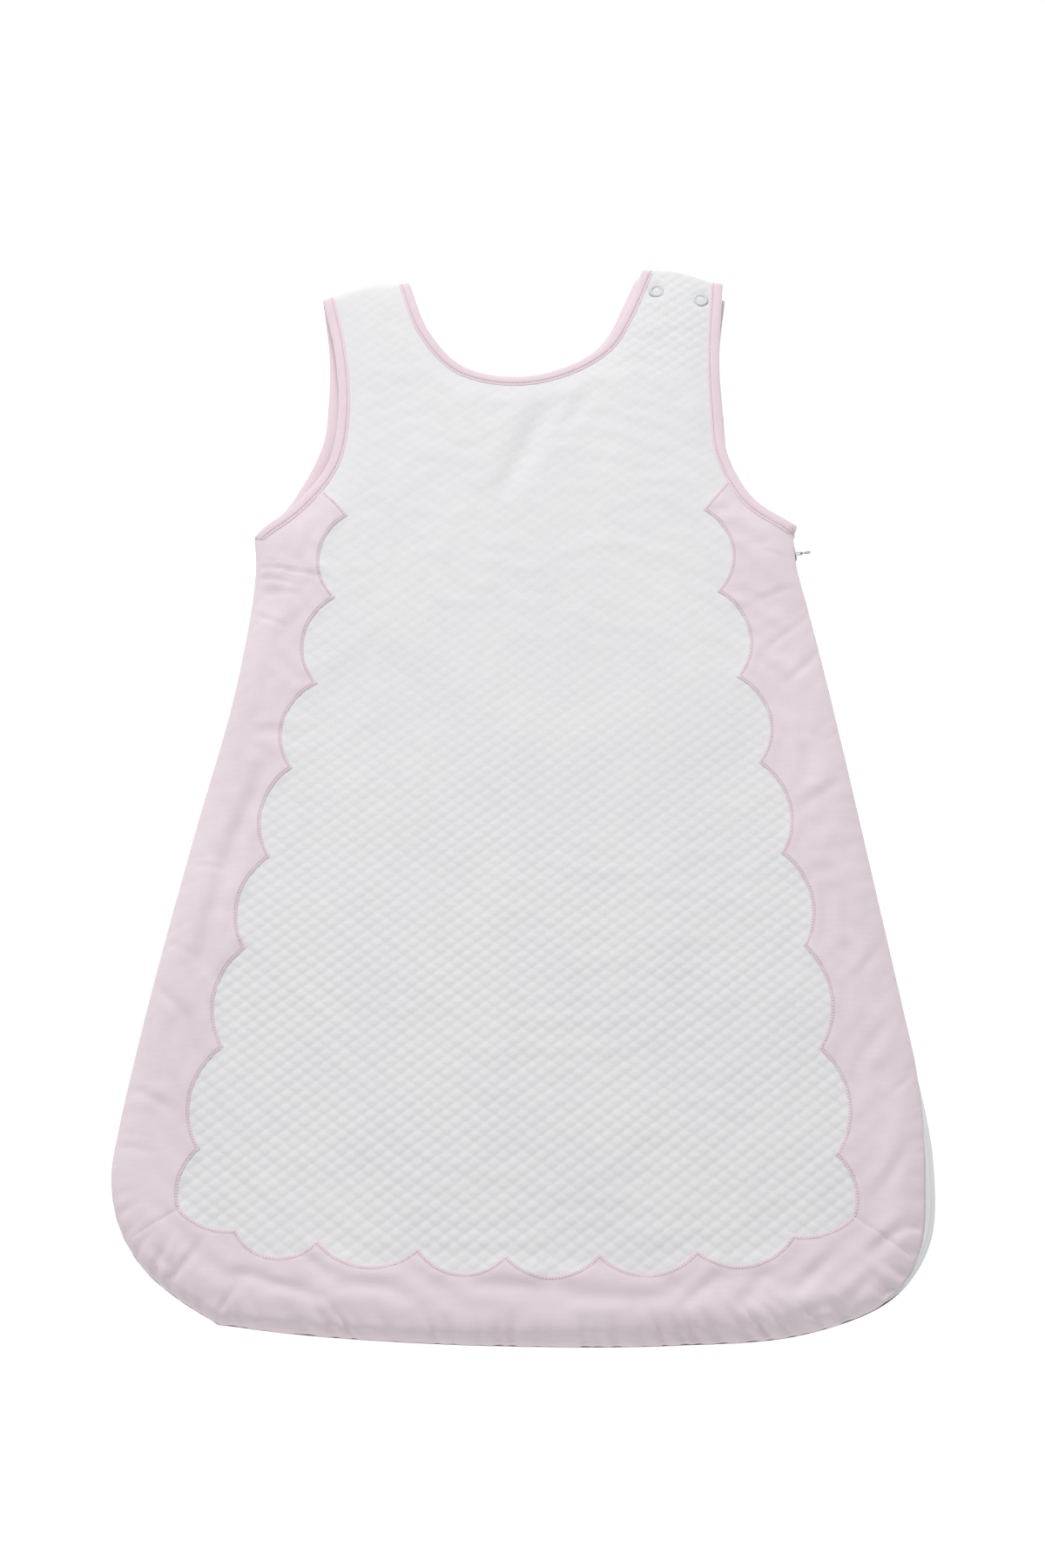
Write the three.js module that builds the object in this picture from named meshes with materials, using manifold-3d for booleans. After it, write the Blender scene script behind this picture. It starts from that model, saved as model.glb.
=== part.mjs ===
// Baby sleeping bag: a sleeveless quilted bag lying flat on its back, front side up.
// Millimetres. +X is the zip side, +Y points from the hem to the neck, +Z is up.
// The front opens like a book cover once the zip and the two shoulder snaps are undone.
import * as THREE from "three";
import { mergeVertices } from "three/addons/utils/BufferGeometryUtils.js";
import Module from "manifold-3d";

const wasm = await Module();
wasm.setup();

// ---- Driving dimensions ------------------------------------------------------------

const GAP = 0.3; // air left between neighbouring pieces
const BINDING_WIDTH = 6.5;
const BINDING_CLOTH = 0.6;
const SEAM_CLOTH = 0.9;

// Height of each layer, from the table up: [underside, top].
const BACK_OUTER = [0, 1.2];
const BACK_WADDING = [1.5, 4.5];
const BACK_LINING = [4.8, 5.6];
const FRONT_LINING = [12.0, 12.8];
const FRONT_WADDING = [13.1, 16.1];
const FRONT_PANEL = [16.4, 17.6];
const BORDER = [17.9, 18.7];
const BACK_BINDING = [0.3, 6.5];
const FRONT_BINDING = [11.1, 18.5];
const SIDE_WALL = [5.9, 11.7];
const SHOULDER_WALL = [6.8, 10.8];

// The line that the front folds back along, from the neck to the end of the zip.
const FOLD_TOP = [-84, 348];
const FOLD_BOTTOM = [-163, -344];

// The right strap bends along this height when its snaps are undone.
const FLAP_LINE_Y = 290;
const FLAP_LEFT_X = 40;

const SCALLOP_SPACING = 59; // from cusp to cusp down the sides
const SCALLOP_DEPTH = 13;
const HEM_SCALLOPS = 6;
const HEM_SCALLOP_DEPTH = 12;
const SCALLOP_STEPS = 5;

const SNAP_PLACES = [[88.5, 333.5], [117.5, 326]];
const SNAP_RING_OUTER = 5.0;
const SNAP_RING_INNER = 3.1;
const SNAP_STUD_RADIUS = 1.7;
const SNAP_SOCKET_BORE = 2.1;
const SNAP_BASE_RADIUS = 4.0;
const ROUND_SEGMENTS = 16;

const TAPE_BACK = [5.9, 7.9];
const TAPE_FRONT = [9.7, 11.7];
const TAPE_CLOTH = 0.6;
const COIL_INSET = [0.9, 2.1];
const COIL_HEIGHT = 1.4;
const SLIDER_LENGTH = 9;
const SLIDER_BELOW_ARMPIT = 11;
const PULL_LENGTH = 8;

// ---- Materials -----------------------------------------------------------------------

function cloth(color) {
  return new THREE.MeshStandardMaterial({ color, roughness: 0.92, metalness: 0 });
}

const WHITE_MATELASSE = cloth(0xf0eff1);
const PINK_COTTON = cloth(0xf1e0e8);
const PINK_BINDING = cloth(0xf3dae4);
const WHITE_LINING = cloth(0xf4f3f3);
const WADDING = cloth(0xf7f7f5);
const ZIP_TAPE = cloth(0xdfe2e3);
const ZIP_COIL = new THREE.MeshStandardMaterial({ color: 0xe4e6e7, roughness: 0.55, metalness: 0 });
const SNAP_ENAMEL = new THREE.MeshStandardMaterial({ color: 0xdcdee0, roughness: 0.3, metalness: 0.2 });
const ZIP_METAL = new THREE.MeshStandardMaterial({ color: 0xb4b8bb, roughness: 0.3, metalness: 0.7 });

// ---- Edges of the bag, run anticlockwise so that inward is always to the left ----------

function spline(...places) {
  const points = places.map(([x, y]) => new THREE.Vector3(x, y, 0));
  return new THREE.CatmullRomCurve3(points, false, "centripetal");
}

function line(from, to) {
  return new THREE.LineCurve3(new THREE.Vector3(...from, 0), new THREE.Vector3(...to, 0));
}

const ARMPIT = [169.5, 146];
const SIDE_FOOT = [219.5, -200];
const ZIP_END = [-162, -342];

const zipSide = new THREE.CurvePath();
zipSide.add(spline(ZIP_END, [-110, -348], [-20, -353], [80, -353], [150, -347], [198, -328],
  [219, -300], [224.7, -256], SIDE_FOOT));
zipSide.add(line(SIDE_FOOT, ARMPIT));

const leftSide = spline([-168, 146], [-166, 120], [-174, 38], [-193, -60], [-211.5, -161], [-222.5, -235],
  [-224.5, -264], [-218, -290], [-204, -312], [-185, -328], ZIP_END);

const rightArmhole = spline([172, 152], [146, 172], [131, 205], [128.5, 240], [128.5, 285], [133, 340.5]);
const leftStrapTop = spline([-76, 343.5], [-104, 340.5], [-131.5, 330]);

const frontRightStrapTop = line([133, 340.5], [80.5, 352]);
const frontNeck = spline([80.5, 352], [66, 315], [53.5, 292], [31, 275.5], [-2, 266], [-38, 274],
  [-61.5, 302], [-76, 343.5]);
const frontLeftArmhole = spline([-131.5, 330], [-122.5, 285], [-118.5, 237], [-124, 197], [-145, 165],
  [-168, 146]);

const backRightStrapTop = line([135, 335], [76, 353]);
const backRightArmhole = spline([172, 152], [146, 174], [132.5, 207], [130, 243], [129.5, 290], [135, 335]);
const backNeck = spline([76, 353], [66, 328], [57.5, 307.5], [48, 294], [29, 280], [-2, 271], [-36, 278],
  [-60, 304], [-76, 343.5]);
const backLeftArmhole = spline([-131.5, 330], [-127, 290], [-126, 250], [-128.5, 219], [-146.5, 175],
  [-168, 146]);

const STEPS = new Map([
  [zipSide, 44], [leftSide, 20], [leftStrapTop, 3],
  [rightArmhole, 12], [frontNeck, 16], [frontLeftArmhole, 12], [frontRightStrapTop, 1],
  [backRightArmhole, 12], [backNeck, 16], [backLeftArmhole, 12], [backRightStrapTop, 1],
]);

// Points along one edge, moved inward by inset.
function edgePoints(curve, inset) {
  const steps = STEPS.get(curve);
  return curve.getSpacedPoints(steps).map((point, i) => {
    const tangent = curve.getTangentAt(i / steps);
    return new THREE.Vector2(point.x - inset * tangent.y, point.y + inset * tangent.x);
  });
}

// Adds a straight lead at both ends, so that neighbouring edges are sure to cross.
function withLeads(points, lead = 10) {
  const last = points.length - 1;
  const before = points[0].clone().sub(points[1]).setLength(lead).add(points[0]);
  const after = points[last].clone().sub(points[last - 1]).setLength(lead).add(points[last]);
  return [before, ...points, after];
}

function segmentCrossing(a, b, c, d) {
  const ab = b.clone().sub(a);
  const cd = d.clone().sub(c);
  const ac = c.clone().sub(a);
  const area = ab.cross(cd);
  const along = ac.cross(cd) / area;
  const across = ac.cross(ab) / area;
  const meets = along >= 0 && along <= 1 && across >= 0 && across <= 1;
  return meets ? a.clone().addScaledVector(ab, along) : null;
}

// Where the first edge's tail crosses the second edge's head.
function edgeCrossing(first, second) {
  for (let j = 0; j < second.length - 1; j += 1) {
    for (let i = first.length - 2; i >= 0; i -= 1) {
      const point = segmentCrossing(first[i], first[i + 1], second[j], second[j + 1]);
      if (point) return { point, onFirst: i, onSecond: j };
    }
  }
  throw new Error("two neighbouring edges do not meet");
}

// Joins [curve, inset] pairs into one closed outline.
function closedOutline(edges) {
  const runs = edges.map(([curve, inset]) => withLeads(edgePoints(curve, inset)));
  const corners = runs.map((run, i) => edgeCrossing(run, runs[(i + 1) % runs.length]));
  return runs.flatMap((run, i) => {
    const start = corners[(i + runs.length - 1) % runs.length];
    return [start.point, ...run.slice(start.onSecond + 1, corners[i].onFirst + 1)];
  });
}

function frontOutline({ seam, bound }) {
  return closedOutline([[zipSide, seam], [rightArmhole, bound], [frontRightStrapTop, 0], [frontNeck, bound],
    [leftStrapTop, 0], [frontLeftArmhole, bound], [leftSide, seam]]);
}

function backOutline({ seam, bound }) {
  return closedOutline([[zipSide, seam], [backRightArmhole, bound], [backRightStrapTop, 0], [backNeck, bound],
    [leftStrapTop, 0], [backLeftArmhole, bound], [leftSide, seam]]);
}

// ---- Solids ------------------------------------------------------------------------------

function plate(outline, [low, high], holes = []) {
  const shape = new THREE.Shape(outline);
  shape.holes = holes;
  const geometry = new THREE.ExtrudeGeometry(shape, { depth: high - low, bevelEnabled: false });
  return geometry.translate(0, 0, low);
}

// A section swept along an edge. The section's points are [inset, height].
function swept(curve, section, steps = STEPS.get(curve)) {
  const shape = new THREE.Shape(section.map(([inset, height]) => new THREE.Vector2(-height, inset)));
  return new THREE.ExtrudeGeometry(shape, { extrudePath: curve, steps, bevelEnabled: false });
}

function rectangle([inner, outer], [low, high]) {
  return [[inner, low], [outer, low], [outer, high], [inner, high]];
}

// Bias tape folded over the cut edge of the layers.
function bindingSection([low, high]) {
  const cloth = BINDING_CLOTH;
  const width = BINDING_WIDTH;
  return [[0, low], [width, low], [width, low + cloth], [cloth, low + cloth],
    [cloth, high - cloth], [width, high - cloth], [width, high], [0, high]];
}

function toManifold(geometry) {
  const bare = geometry.clone();
  bare.deleteAttribute("normal");
  bare.deleteAttribute("uv");
  const merged = mergeVertices(bare);
  return new wasm.Manifold(new wasm.Mesh({
    numProp: 3,
    vertProperties: new Float32Array(merged.attributes.position.array),
    triVerts: new Uint32Array(merged.index.array),
  }));
}

function toGeometry(solid) {
  const mesh = solid.getMesh();
  const geometry = new THREE.BufferGeometry();
  geometry.setAttribute("position", new THREE.BufferAttribute(mesh.vertProperties, 3));
  geometry.setIndex(new THREE.BufferAttribute(mesh.triVerts, 1));
  return geometry;
}

function box([x0, y0, z0], [x1, y1, z1]) {
  const geometry = new THREE.BoxGeometry(x1 - x0, y1 - y0, z1 - z0);
  return geometry.translate((x0 + x1) / 2, (y0 + y1) / 2, (z0 + z1) / 2);
}

// Keeps what lies to the left of the line from one place to another, GAP away from it.
function leftOf(solid, from, to) {
  const direction = new THREE.Vector2(to[0] - from[0], to[1] - from[1]).normalize();
  const normal = [-direction.y, direction.x, 0];
  return solid.trimByPlane(normal, normal[0] * from[0] + normal[1] * from[1] + GAP);
}

const flapSpace = toManifold(box([FLAP_LEFT_X, FLAP_LINE_Y + GAP, 0], [200, 400, 40]));
const flapClearance = toManifold(box([FLAP_LEFT_X - GAP, FLAP_LINE_Y - GAP, -1], [201, 401, 41]));

const foldSide = (solid) => leftOf(solid, FOLD_BOTTOM, FOLD_TOP);
const openingSide = (solid) => leftOf(solid, FOLD_TOP, FOLD_BOTTOM).subtract(flapClearance);
const strapEnd = (solid) => solid.intersect(flapSpace);

// A ring, cup or post turned about an upright axis; the profile is [radius, height] points.
function turned(profile, [x, y]) {
  const closed = [...profile, profile[0]].map(([radius, height]) => new THREE.Vector2(radius, height));
  const geometry = new THREE.LatheGeometry(closed, ROUND_SEGMENTS);
  return geometry.rotateX(Math.PI / 2).translate(x, y, 0);
}

// ---- Pieces --------------------------------------------------------------------------------

const bag = new THREE.Group();

function add(name, geometry, material, parent = bag) {
  const mesh = new THREE.Mesh(geometry, material);
  mesh.name = name;
  parent.add(mesh);
  return mesh;
}

function addSolid(name, solid, material) {
  add(name, toGeometry(solid), material);
}

const EDGE_IN_BINDING = { seam: SEAM_CLOTH + GAP, bound: BINDING_CLOTH + GAP };
const EDGE_BESIDE_BINDING = { seam: 0, bound: BINDING_WIDTH + GAP };

function addBackPanel() {
  const snapHoles = SNAP_PLACES.map(([x, y]) => {
    const points = new THREE.Path().absarc(x, y, SNAP_RING_OUTER + GAP, 0, 2 * Math.PI, true).getPoints(8);
    return new THREE.Path(points.slice(0, -1));
  });
  add("back_outer_panel", plate(backOutline(EDGE_BESIDE_BINDING), BACK_OUTER, snapHoles), PINK_COTTON);
  add("back_wadding", plate(backOutline(EDGE_IN_BINDING), BACK_WADDING), WADDING);
  add("back_lining", plate(backOutline(EDGE_IN_BINDING), BACK_LINING), WHITE_LINING);
}

function addFrontLayers() {
  const layers = [
    ["lining", FRONT_LINING, WHITE_LINING],
    ["wadding", FRONT_WADDING, WADDING],
    ["centre_panel", FRONT_PANEL, WHITE_MATELASSE],
  ];
  for (const [name, heights, material] of layers) {
    const whole = toManifold(plate(frontOutline(EDGE_IN_BINDING), heights));
    addSolid(`front_${name}`, openingSide(whole), material);
    addSolid(`front_${name}_fold_side`, foldSide(whole), material);
    addSolid(`strap_${name}`, strapEnd(whole), material);
  }
}

// One scallop from cusp to cusp: a circular arc that stands out to the right of its chord.
function scallop(from, to, depth) {
  const chord = to.clone().sub(from);
  const half = chord.length() / 2;
  const radius = (half * half + depth * depth) / (2 * depth);
  const reach = Math.asin(Math.min(1, half / radius));
  const along = chord.clone().normalize();
  const outward = new THREE.Vector2(along.y, -along.x);
  const centre = from.clone().add(to).multiplyScalar(0.5).addScaledVector(outward, depth - radius);
  const points = [];
  for (let i = 0; i < SCALLOP_STEPS; i += 1) {
    const angle = reach * ((2 * i) / SCALLOP_STEPS - 1);
    points.push(centre.clone().addScaledVector(along, radius * Math.sin(angle))
      .addScaledVector(outward, radius * Math.cos(angle)));
  }
  return points;
}

function scallops(cusps, depths) {
  return depths.flatMap((depth, i) => scallop(cusps[i], cusps[i + 1], depth));
}

// Cusps down one side: full spacings from the armhole, then a short scallop to the mitre.
function sideCusps(curve) {
  const length = curve.getLength();
  const full = Math.floor(length / SCALLOP_SPACING);
  const cusps = [];
  for (let i = 0; i <= full; i += 1) cusps.push(curve.getPointAt((i * SCALLOP_SPACING) / length));
  cusps.push(curve.getPointAt(1));
  return cusps.map((point) => new THREE.Vector2(point.x, point.y));
}

const MITRE_LEFT = [-185, -282];
const MITRE_RIGHT = [178, -286];
const MITRE_LEFT_FOOT = [-211, -299];
const MITRE_RIGHT_FOOT = [208, -308];

// The white window that the border leaves open, with its scalloped left, bottom and right edges.
function windowOutline() {
  const left = sideCusps(spline([-110, 158], [-124, 39], [-147, -75], [-167, -191], MITRE_LEFT));
  const right = sideCusps(spline([113.5, 162], [129.5, 43], [150, -73], [165, -191], MITRE_RIGHT));
  const hem = spline([-154, -293.5], [-56, -303.5], [41, -307], [144.5, -297]);
  const hemCusps = hem.getSpacedPoints(HEM_SCALLOPS).map((point) => new THREE.Vector2(point.x, point.y));
  const sideDepths = left.slice(2).map(() => SCALLOP_DEPTH);
  const shortDepth = 4;
  return [
    new THREE.Vector2(150, 400), new THREE.Vector2(-145, 400), new THREE.Vector2(-145, 199),
    ...scallops(left, [...sideDepths, shortDepth]),
    ...scallops([left.at(-1), hemCusps[0]], [shortDepth]),
    ...scallops(hemCusps, hemCusps.slice(1).map(() => HEM_SCALLOP_DEPTH)),
    ...scallops([hemCusps.at(-1), right.at(-1)], [shortDepth]),
    ...scallops(right.reverse(), [shortDepth, ...sideDepths]),
    right.at(-1), new THREE.Vector2(150, 213),
  ];
}

function addBorders() {
  const low = BORDER[0] - 1;
  const high = BORDER[1] + 1;
  const whole = toManifold(plate(frontOutline(EDGE_BESIDE_BINDING), BORDER))
    .subtract(toManifold(plate(windowOutline(), [low, high])));
  const middle = 0;
  const leftHalf = leftOf(whole, [middle, -400], [middle, 400]);
  const rightHalf = leftOf(whole, [middle, 400], [middle, -400]);
  const hem = leftOf(leftOf(whole, MITRE_LEFT, MITRE_LEFT_FOOT), MITRE_RIGHT_FOOT, MITRE_RIGHT);
  addSolid("border_left", leftOf(leftHalf, MITRE_LEFT_FOOT, MITRE_LEFT), PINK_COTTON);
  addSolid("border_right", leftOf(rightHalf, MITRE_RIGHT, MITRE_RIGHT_FOOT), PINK_COTTON);
  addSolid("border_hem", openingSide(hem), PINK_COTTON);
  addSolid("border_hem_fold_side", foldSide(hem), PINK_COTTON);
}

function addBindings() {
  const frontSection = bindingSection(FRONT_BINDING);
  const backSection = bindingSection(BACK_BINDING);
  add("back_neck_binding", swept(backNeck, backSection), PINK_BINDING);
  add("left_armhole_binding_back", swept(backLeftArmhole, backSection), PINK_BINDING);
  add("right_armhole_binding_back", swept(backRightArmhole, backSection), PINK_BINDING);
  add("left_armhole_binding_front", swept(frontLeftArmhole, frontSection), PINK_BINDING);
  const neck = toManifold(swept(frontNeck, frontSection));
  const armhole = toManifold(swept(rightArmhole, frontSection));
  addSolid("front_neck_binding", openingSide(neck), PINK_BINDING);
  addSolid("right_armhole_binding_front", openingSide(armhole), PINK_BINDING);
  addSolid("strap_neck_binding", strapEnd(neck), PINK_BINDING);
  addSolid("strap_armhole_binding", strapEnd(armhole), PINK_BINDING);
}

function addClosedEdges() {
  const seam = spline(...[0.03, 0.12, 0.25, 0.4, 0.55, 0.68, 0.75, 0.8, 0.85, 0.9, 0.99].map((share) => {
    const point = leftSide.getPointAt(share);
    return [point.x, point.y];
  }));
  add("left_side_seam", swept(seam, rectangle([0, SEAM_CLOTH], SIDE_WALL), 18), PINK_COTTON);
  add("left_shoulder_fold", swept(leftStrapTop, rectangle([0, SEAM_CLOTH], SHOULDER_WALL)), WHITE_MATELASSE);
}

// The bottom and top of the tape are kept clear of the seam and of the armhole binding.
function addZip() {
  const sides = [
    ["back", TAPE_BACK, [TAPE_BACK[1] - COIL_HEIGHT, TAPE_BACK[1]]],
    ["front", TAPE_FRONT, [TAPE_FRONT[0], TAPE_FRONT[0] + COIL_HEIGHT]],
  ];
  const stopLength = 2;
  const along = new THREE.Vector2(ARMPIT[0] - SIDE_FOOT[0], ARMPIT[1] - SIDE_FOOT[1]).normalize();
  const turn = Math.atan2(-along.x, along.y);
  for (const [side, tapeHeights, coilHeights] of sides) {
    const tape = toManifold(swept(zipSide, rectangle([0, TAPE_CLOTH], tapeHeights)));
    const coil = toManifold(swept(zipSide, rectangle(COIL_INSET, coilHeights)));
    const belowArmpit = ARMPIT[1] - 5;
    const clear = toManifold(box([-158, -400, 0], [400, belowArmpit, 40]));
    const coilClear = toManifold(box([-154, -400, 0], [400, belowArmpit - stopLength - GAP, 40]));
    addSolid(`zip_tape_${side}`, tape.intersect(clear), ZIP_TAPE);
    addSolid(`zip_coil_${side}`, coil.intersect(coilClear), ZIP_COIL);
    const stop = box([-COIL_INSET[1], -stopLength - 5, coilHeights[0]], [-COIL_INSET[0], -5, coilHeights[1]]);
    add(`zip_top_stop_${side}`, stop.rotateZ(turn).translate(...ARMPIT, 0), ZIP_METAL);
  }
  const endStop = box([3.4, 2.6, TAPE_BACK[0]], [6.6, 4.2, TAPE_FRONT[0] - GAP]);
  add("zip_bottom_stop", endStop.translate(...ZIP_END, 0), ZIP_METAL);
}

// The slider is two side plates joined by a post that runs between the two rows of coil, with a
// pin outside that carries the pull. Its own X points out of the bag and its Y up the side.
function addSlider() {
  const slider = new THREE.Group();
  const along = new THREE.Vector2(ARMPIT[0] - SIDE_FOOT[0], ARMPIT[1] - SIDE_FOOT[1]).normalize();
  const centre = new THREE.Vector2(...ARMPIT).addScaledVector(along, -SLIDER_BELOW_ARMPIT);
  slider.position.set(centre.x, centre.y, 0);
  slider.rotation.z = Math.atan2(-along.x, along.y);

  const half = SLIDER_LENGTH / 2;
  const postHalf = 0.5;
  const middle = (TAPE_BACK[1] + TAPE_FRONT[0]) / 2;
  const plateLow = 6.4;
  const plateHigh = 11.2;
  const outerPlate = [0.4, 1.3];
  const innerPlate = [-3.3, -2.4];
  const pinOut = 3.4;
  const pinRadius = 0.5;
  const earHalf = 0.8;
  const earHeight = 0.8;
  const pieces = [
    box([outerPlate[0], -half, plateLow], [outerPlate[1], half, plateHigh]),
    box([innerPlate[0], -half, plateLow], [innerPlate[1], half, plateHigh]),
    box([innerPlate[0], -1.5, middle - postHalf], [outerPlate[1], half, middle + postHalf]),
    box([outerPlate[0], -earHalf, plateLow], [pinOut + earHalf, earHalf, plateLow + earHeight]),
    box([outerPlate[0], -earHalf, plateHigh - earHeight], [pinOut + earHalf, earHalf, plateHigh]),
    new THREE.CylinderGeometry(pinRadius, pinRadius, plateHigh - plateLow - 0.4, 12)
      .rotateX(Math.PI / 2).translate(pinOut, 0, middle),
  ];
  const body = pieces.map(toManifold).reduce((whole, piece) => whole.add(piece));
  add("zip_slider", toGeometry(body), ZIP_METAL, slider);

  const eyeRadius = 1.6;
  const eyeHalf = 0.9;
  const tabHalf = 1.5;
  const tabStart = pinOut + 2.4;
  const thin = 0.4;
  const cylinder = (radius, height) => new THREE.CylinderGeometry(radius, radius, height, 12)
    .rotateX(Math.PI / 2).translate(pinOut, 0, middle);
  const eye = toManifold(cylinder(eyeRadius, 2 * eyeHalf));
  const neckEnd = tabStart + 0.5;
  const neck = toManifold(box([pinOut + 1, -thin, middle - eyeHalf], [neckEnd, thin, middle + eyeHalf]));
  const tab = toManifold(box([tabStart, -thin, middle - tabHalf], [pinOut + PULL_LENGTH, thin, middle + tabHalf]));
  const bore = toManifold(cylinder(pinRadius + GAP, 4));
  const pull = eye.add(neck).add(tab).subtract(bore);
  add("zip_pull", toGeometry(pull), ZIP_METAL, slider);
  bag.add(slider);
}

function addSnaps() {
  const capHeights = [FRONT_PANEL[1] + GAP, FRONT_PANEL[1] + GAP + 0.9];
  const backRingHeights = [0.2, 1.1];
  const socket = [8.4, FRONT_LINING[0] - GAP];
  const socketRoof = 10.4;
  const studBase = BACK_LINING[1] + GAP;
  const studShoulder = 7.0;
  const studTop = 9.4;
  const ring = ([low, high]) => [[SNAP_RING_INNER, low], [SNAP_RING_OUTER, low],
    [SNAP_RING_OUTER, high - 0.3], [SNAP_RING_OUTER - 0.5, high], [SNAP_RING_INNER + 0.4, high],
    [SNAP_RING_INNER, high - 0.3]];
  SNAP_PLACES.forEach((place, i) => {
    const number = i + 1;
    add(`snap_cap_${number}`, turned(ring(capHeights), place), SNAP_ENAMEL);
    add(`snap_back_ring_${number}`, turned(ring(backRingHeights), place), SNAP_ENAMEL);
    add(`snap_socket_${number}`, turned([[0, socketRoof], [SNAP_SOCKET_BORE, socketRoof],
      [SNAP_SOCKET_BORE, socket[0]], [SNAP_BASE_RADIUS, socket[0]], [SNAP_BASE_RADIUS, socket[1]],
      [0, socket[1]]], place), SNAP_ENAMEL);
    add(`snap_stud_${number}`, turned([[0, studBase], [SNAP_BASE_RADIUS, studBase],
      [SNAP_BASE_RADIUS, studShoulder], [SNAP_STUD_RADIUS, studShoulder], [SNAP_STUD_RADIUS, studTop],
      [0, studTop]], place), SNAP_ENAMEL);
  });
}

addBackPanel();
addFrontLayers();
addBorders();
addBindings();
addClosedEdges();
addZip();
addSlider();
addSnaps();

export default bag;
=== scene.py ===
"""Looks of a baby sleeping bag that lies flat on its back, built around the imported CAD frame.

Shapes are worked out in millimetres in the CAD's own frame (+X the zip side, +Y towards the neck, +Z up)
and become metres when a mesh is made. Outlines run anticlockwise, so inward is to the left of them.
"""

import math

import bpy
import numpy as np
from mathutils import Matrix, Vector, noise
from mathutils.geometry import delaunay_2d_cdt
from mathutils.kdtree import KDTree


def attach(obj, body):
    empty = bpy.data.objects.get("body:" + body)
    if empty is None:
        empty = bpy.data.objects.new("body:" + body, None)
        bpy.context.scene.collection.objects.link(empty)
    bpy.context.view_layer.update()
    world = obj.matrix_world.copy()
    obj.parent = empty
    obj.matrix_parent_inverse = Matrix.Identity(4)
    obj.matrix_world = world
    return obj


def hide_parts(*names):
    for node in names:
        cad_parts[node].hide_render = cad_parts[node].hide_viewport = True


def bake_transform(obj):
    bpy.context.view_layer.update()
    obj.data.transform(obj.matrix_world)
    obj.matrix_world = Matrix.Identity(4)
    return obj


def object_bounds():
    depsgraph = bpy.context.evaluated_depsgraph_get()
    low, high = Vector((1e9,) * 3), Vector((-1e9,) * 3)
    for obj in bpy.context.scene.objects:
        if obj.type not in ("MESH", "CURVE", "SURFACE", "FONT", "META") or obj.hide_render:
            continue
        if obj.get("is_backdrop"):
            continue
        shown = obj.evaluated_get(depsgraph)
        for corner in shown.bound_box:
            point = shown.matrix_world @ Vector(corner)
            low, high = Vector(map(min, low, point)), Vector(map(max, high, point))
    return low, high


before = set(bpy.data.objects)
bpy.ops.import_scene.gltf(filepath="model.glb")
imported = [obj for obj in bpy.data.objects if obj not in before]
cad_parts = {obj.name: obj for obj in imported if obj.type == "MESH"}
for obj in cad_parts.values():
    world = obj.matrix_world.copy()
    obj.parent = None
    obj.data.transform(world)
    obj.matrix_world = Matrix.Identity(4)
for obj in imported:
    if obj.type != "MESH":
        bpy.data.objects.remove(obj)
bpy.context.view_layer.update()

MM = 0.001

# ---- Driving dimensions, in millimetres ----

# Heights of the layers and of their seams above the surface that the bag lies on.
FRONT_TOP = 16.4
FRONT_THICKNESS = 4.4
BACK_TOP = 5.6
BACK_THICKNESS = 4.2
LEFT_SEAM_Z = 8.4
ZIP_EDGE_Z = 11.6
HEM_EDGE_Z = 6.3
BACK_ZIP_EDGE_Z = 6.0
SHOULDER_SEAM_Z = 10.4
SEAM_PLY = 0.3

# How far in from an edge the cloth rolls over, and how it swells or sinks near there.
FRONT_ROLL = 15
HEM_ROLL = 6.5
CORNER_ROLL = 6
BACK_ROLL = 9
SHOULDER_ROLL = 9
STRAP_END_ROLL = 4
STRAP_END_DROP = 2.4
STRAP_RISE = 1.3
HEM_BULGE = 1.1
HEM_BULGE_INSET = 13
HEM_FROM_Y = -240
HEM_BLEND = 70
ZIP_CORNER_DROP = 0.9
EDGE_SINK = 1.5
EDGE_SINK_REACH = 16

# The quilting's diamonds, lower on the chest. The steps place a mesh's points between two seams.
QUILT_WIDTH = 10.4
QUILT_HEIGHT = 7.8
QUILT_RELIEF = 0.56
QUILT_SHARPNESS = 0.34
CHEST_SHARE = 0.26
QUILT_STEPS = (0.0, 0.16, 0.5, 0.84)

# The pink border over the panel, and the bindings round the edges.
BORDER_LIFT = 0.38
FOLDED_EDGE_LIFT = 0.22
HEM_DROP = 0.55
FOLDED_EDGE_WIDTH = 6
PIN_PITCH = 1.7
PIN_INSET = 1.5
PIN_GROOVE = 0.1
MITRE_GROOVE = 0.55
PANEL_DIP = 0.6
UNDER_BORDER = 18
BINDING_WIDTH = 7.4
WIDE_BINDING_WIDTH = 8.0
BACK_LEFT_BINDING_WIDTH = 11.5
BINDING_FLANGE = 1.8
ON_FLAP_LINE = 1e-6
ZIP_GAP_WIDTH = 5.5

# How far each scallop stands out, from the top of a side down, along the hem and at the corners.
SCALLOP_DEPTHS = (13.6, 13.6, 13.0, 11.4, 10.8, 11.0, 11.6, 5.2)
HEM_SCALLOP_DEPTH = 11.9
CORNER_SCALLOP_DEPTH = 4

# Where the strap bends up, and where the front folds over when the bag is open.
FLAP_LINE_Y = 290
FLAP_LEFT_X = 40
FOLD_TOP = (-84, 348)
FOLD_BOTTOM = (-163, -344)

SNAP_PLACES = ((88.5, 333.5), (117.5, 326))
SNAP_OUTER = 5.0
SNAP_INNER = 2.8
SNAP_DIMPLE = 0.7
CRISP_ANGLE = 40

ARMPIT = (169.5, 146)
SIDE_FOOT = (219.5, -200)
ZIP_END = (-162, -342)
MITRE_LEFT = (-185, -282)
MITRE_RIGHT = (178, -286)
MITRE_LEFT_FOOT = (-213, -300)
MITRE_RIGHT_FOOT = (212, -311)

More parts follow.
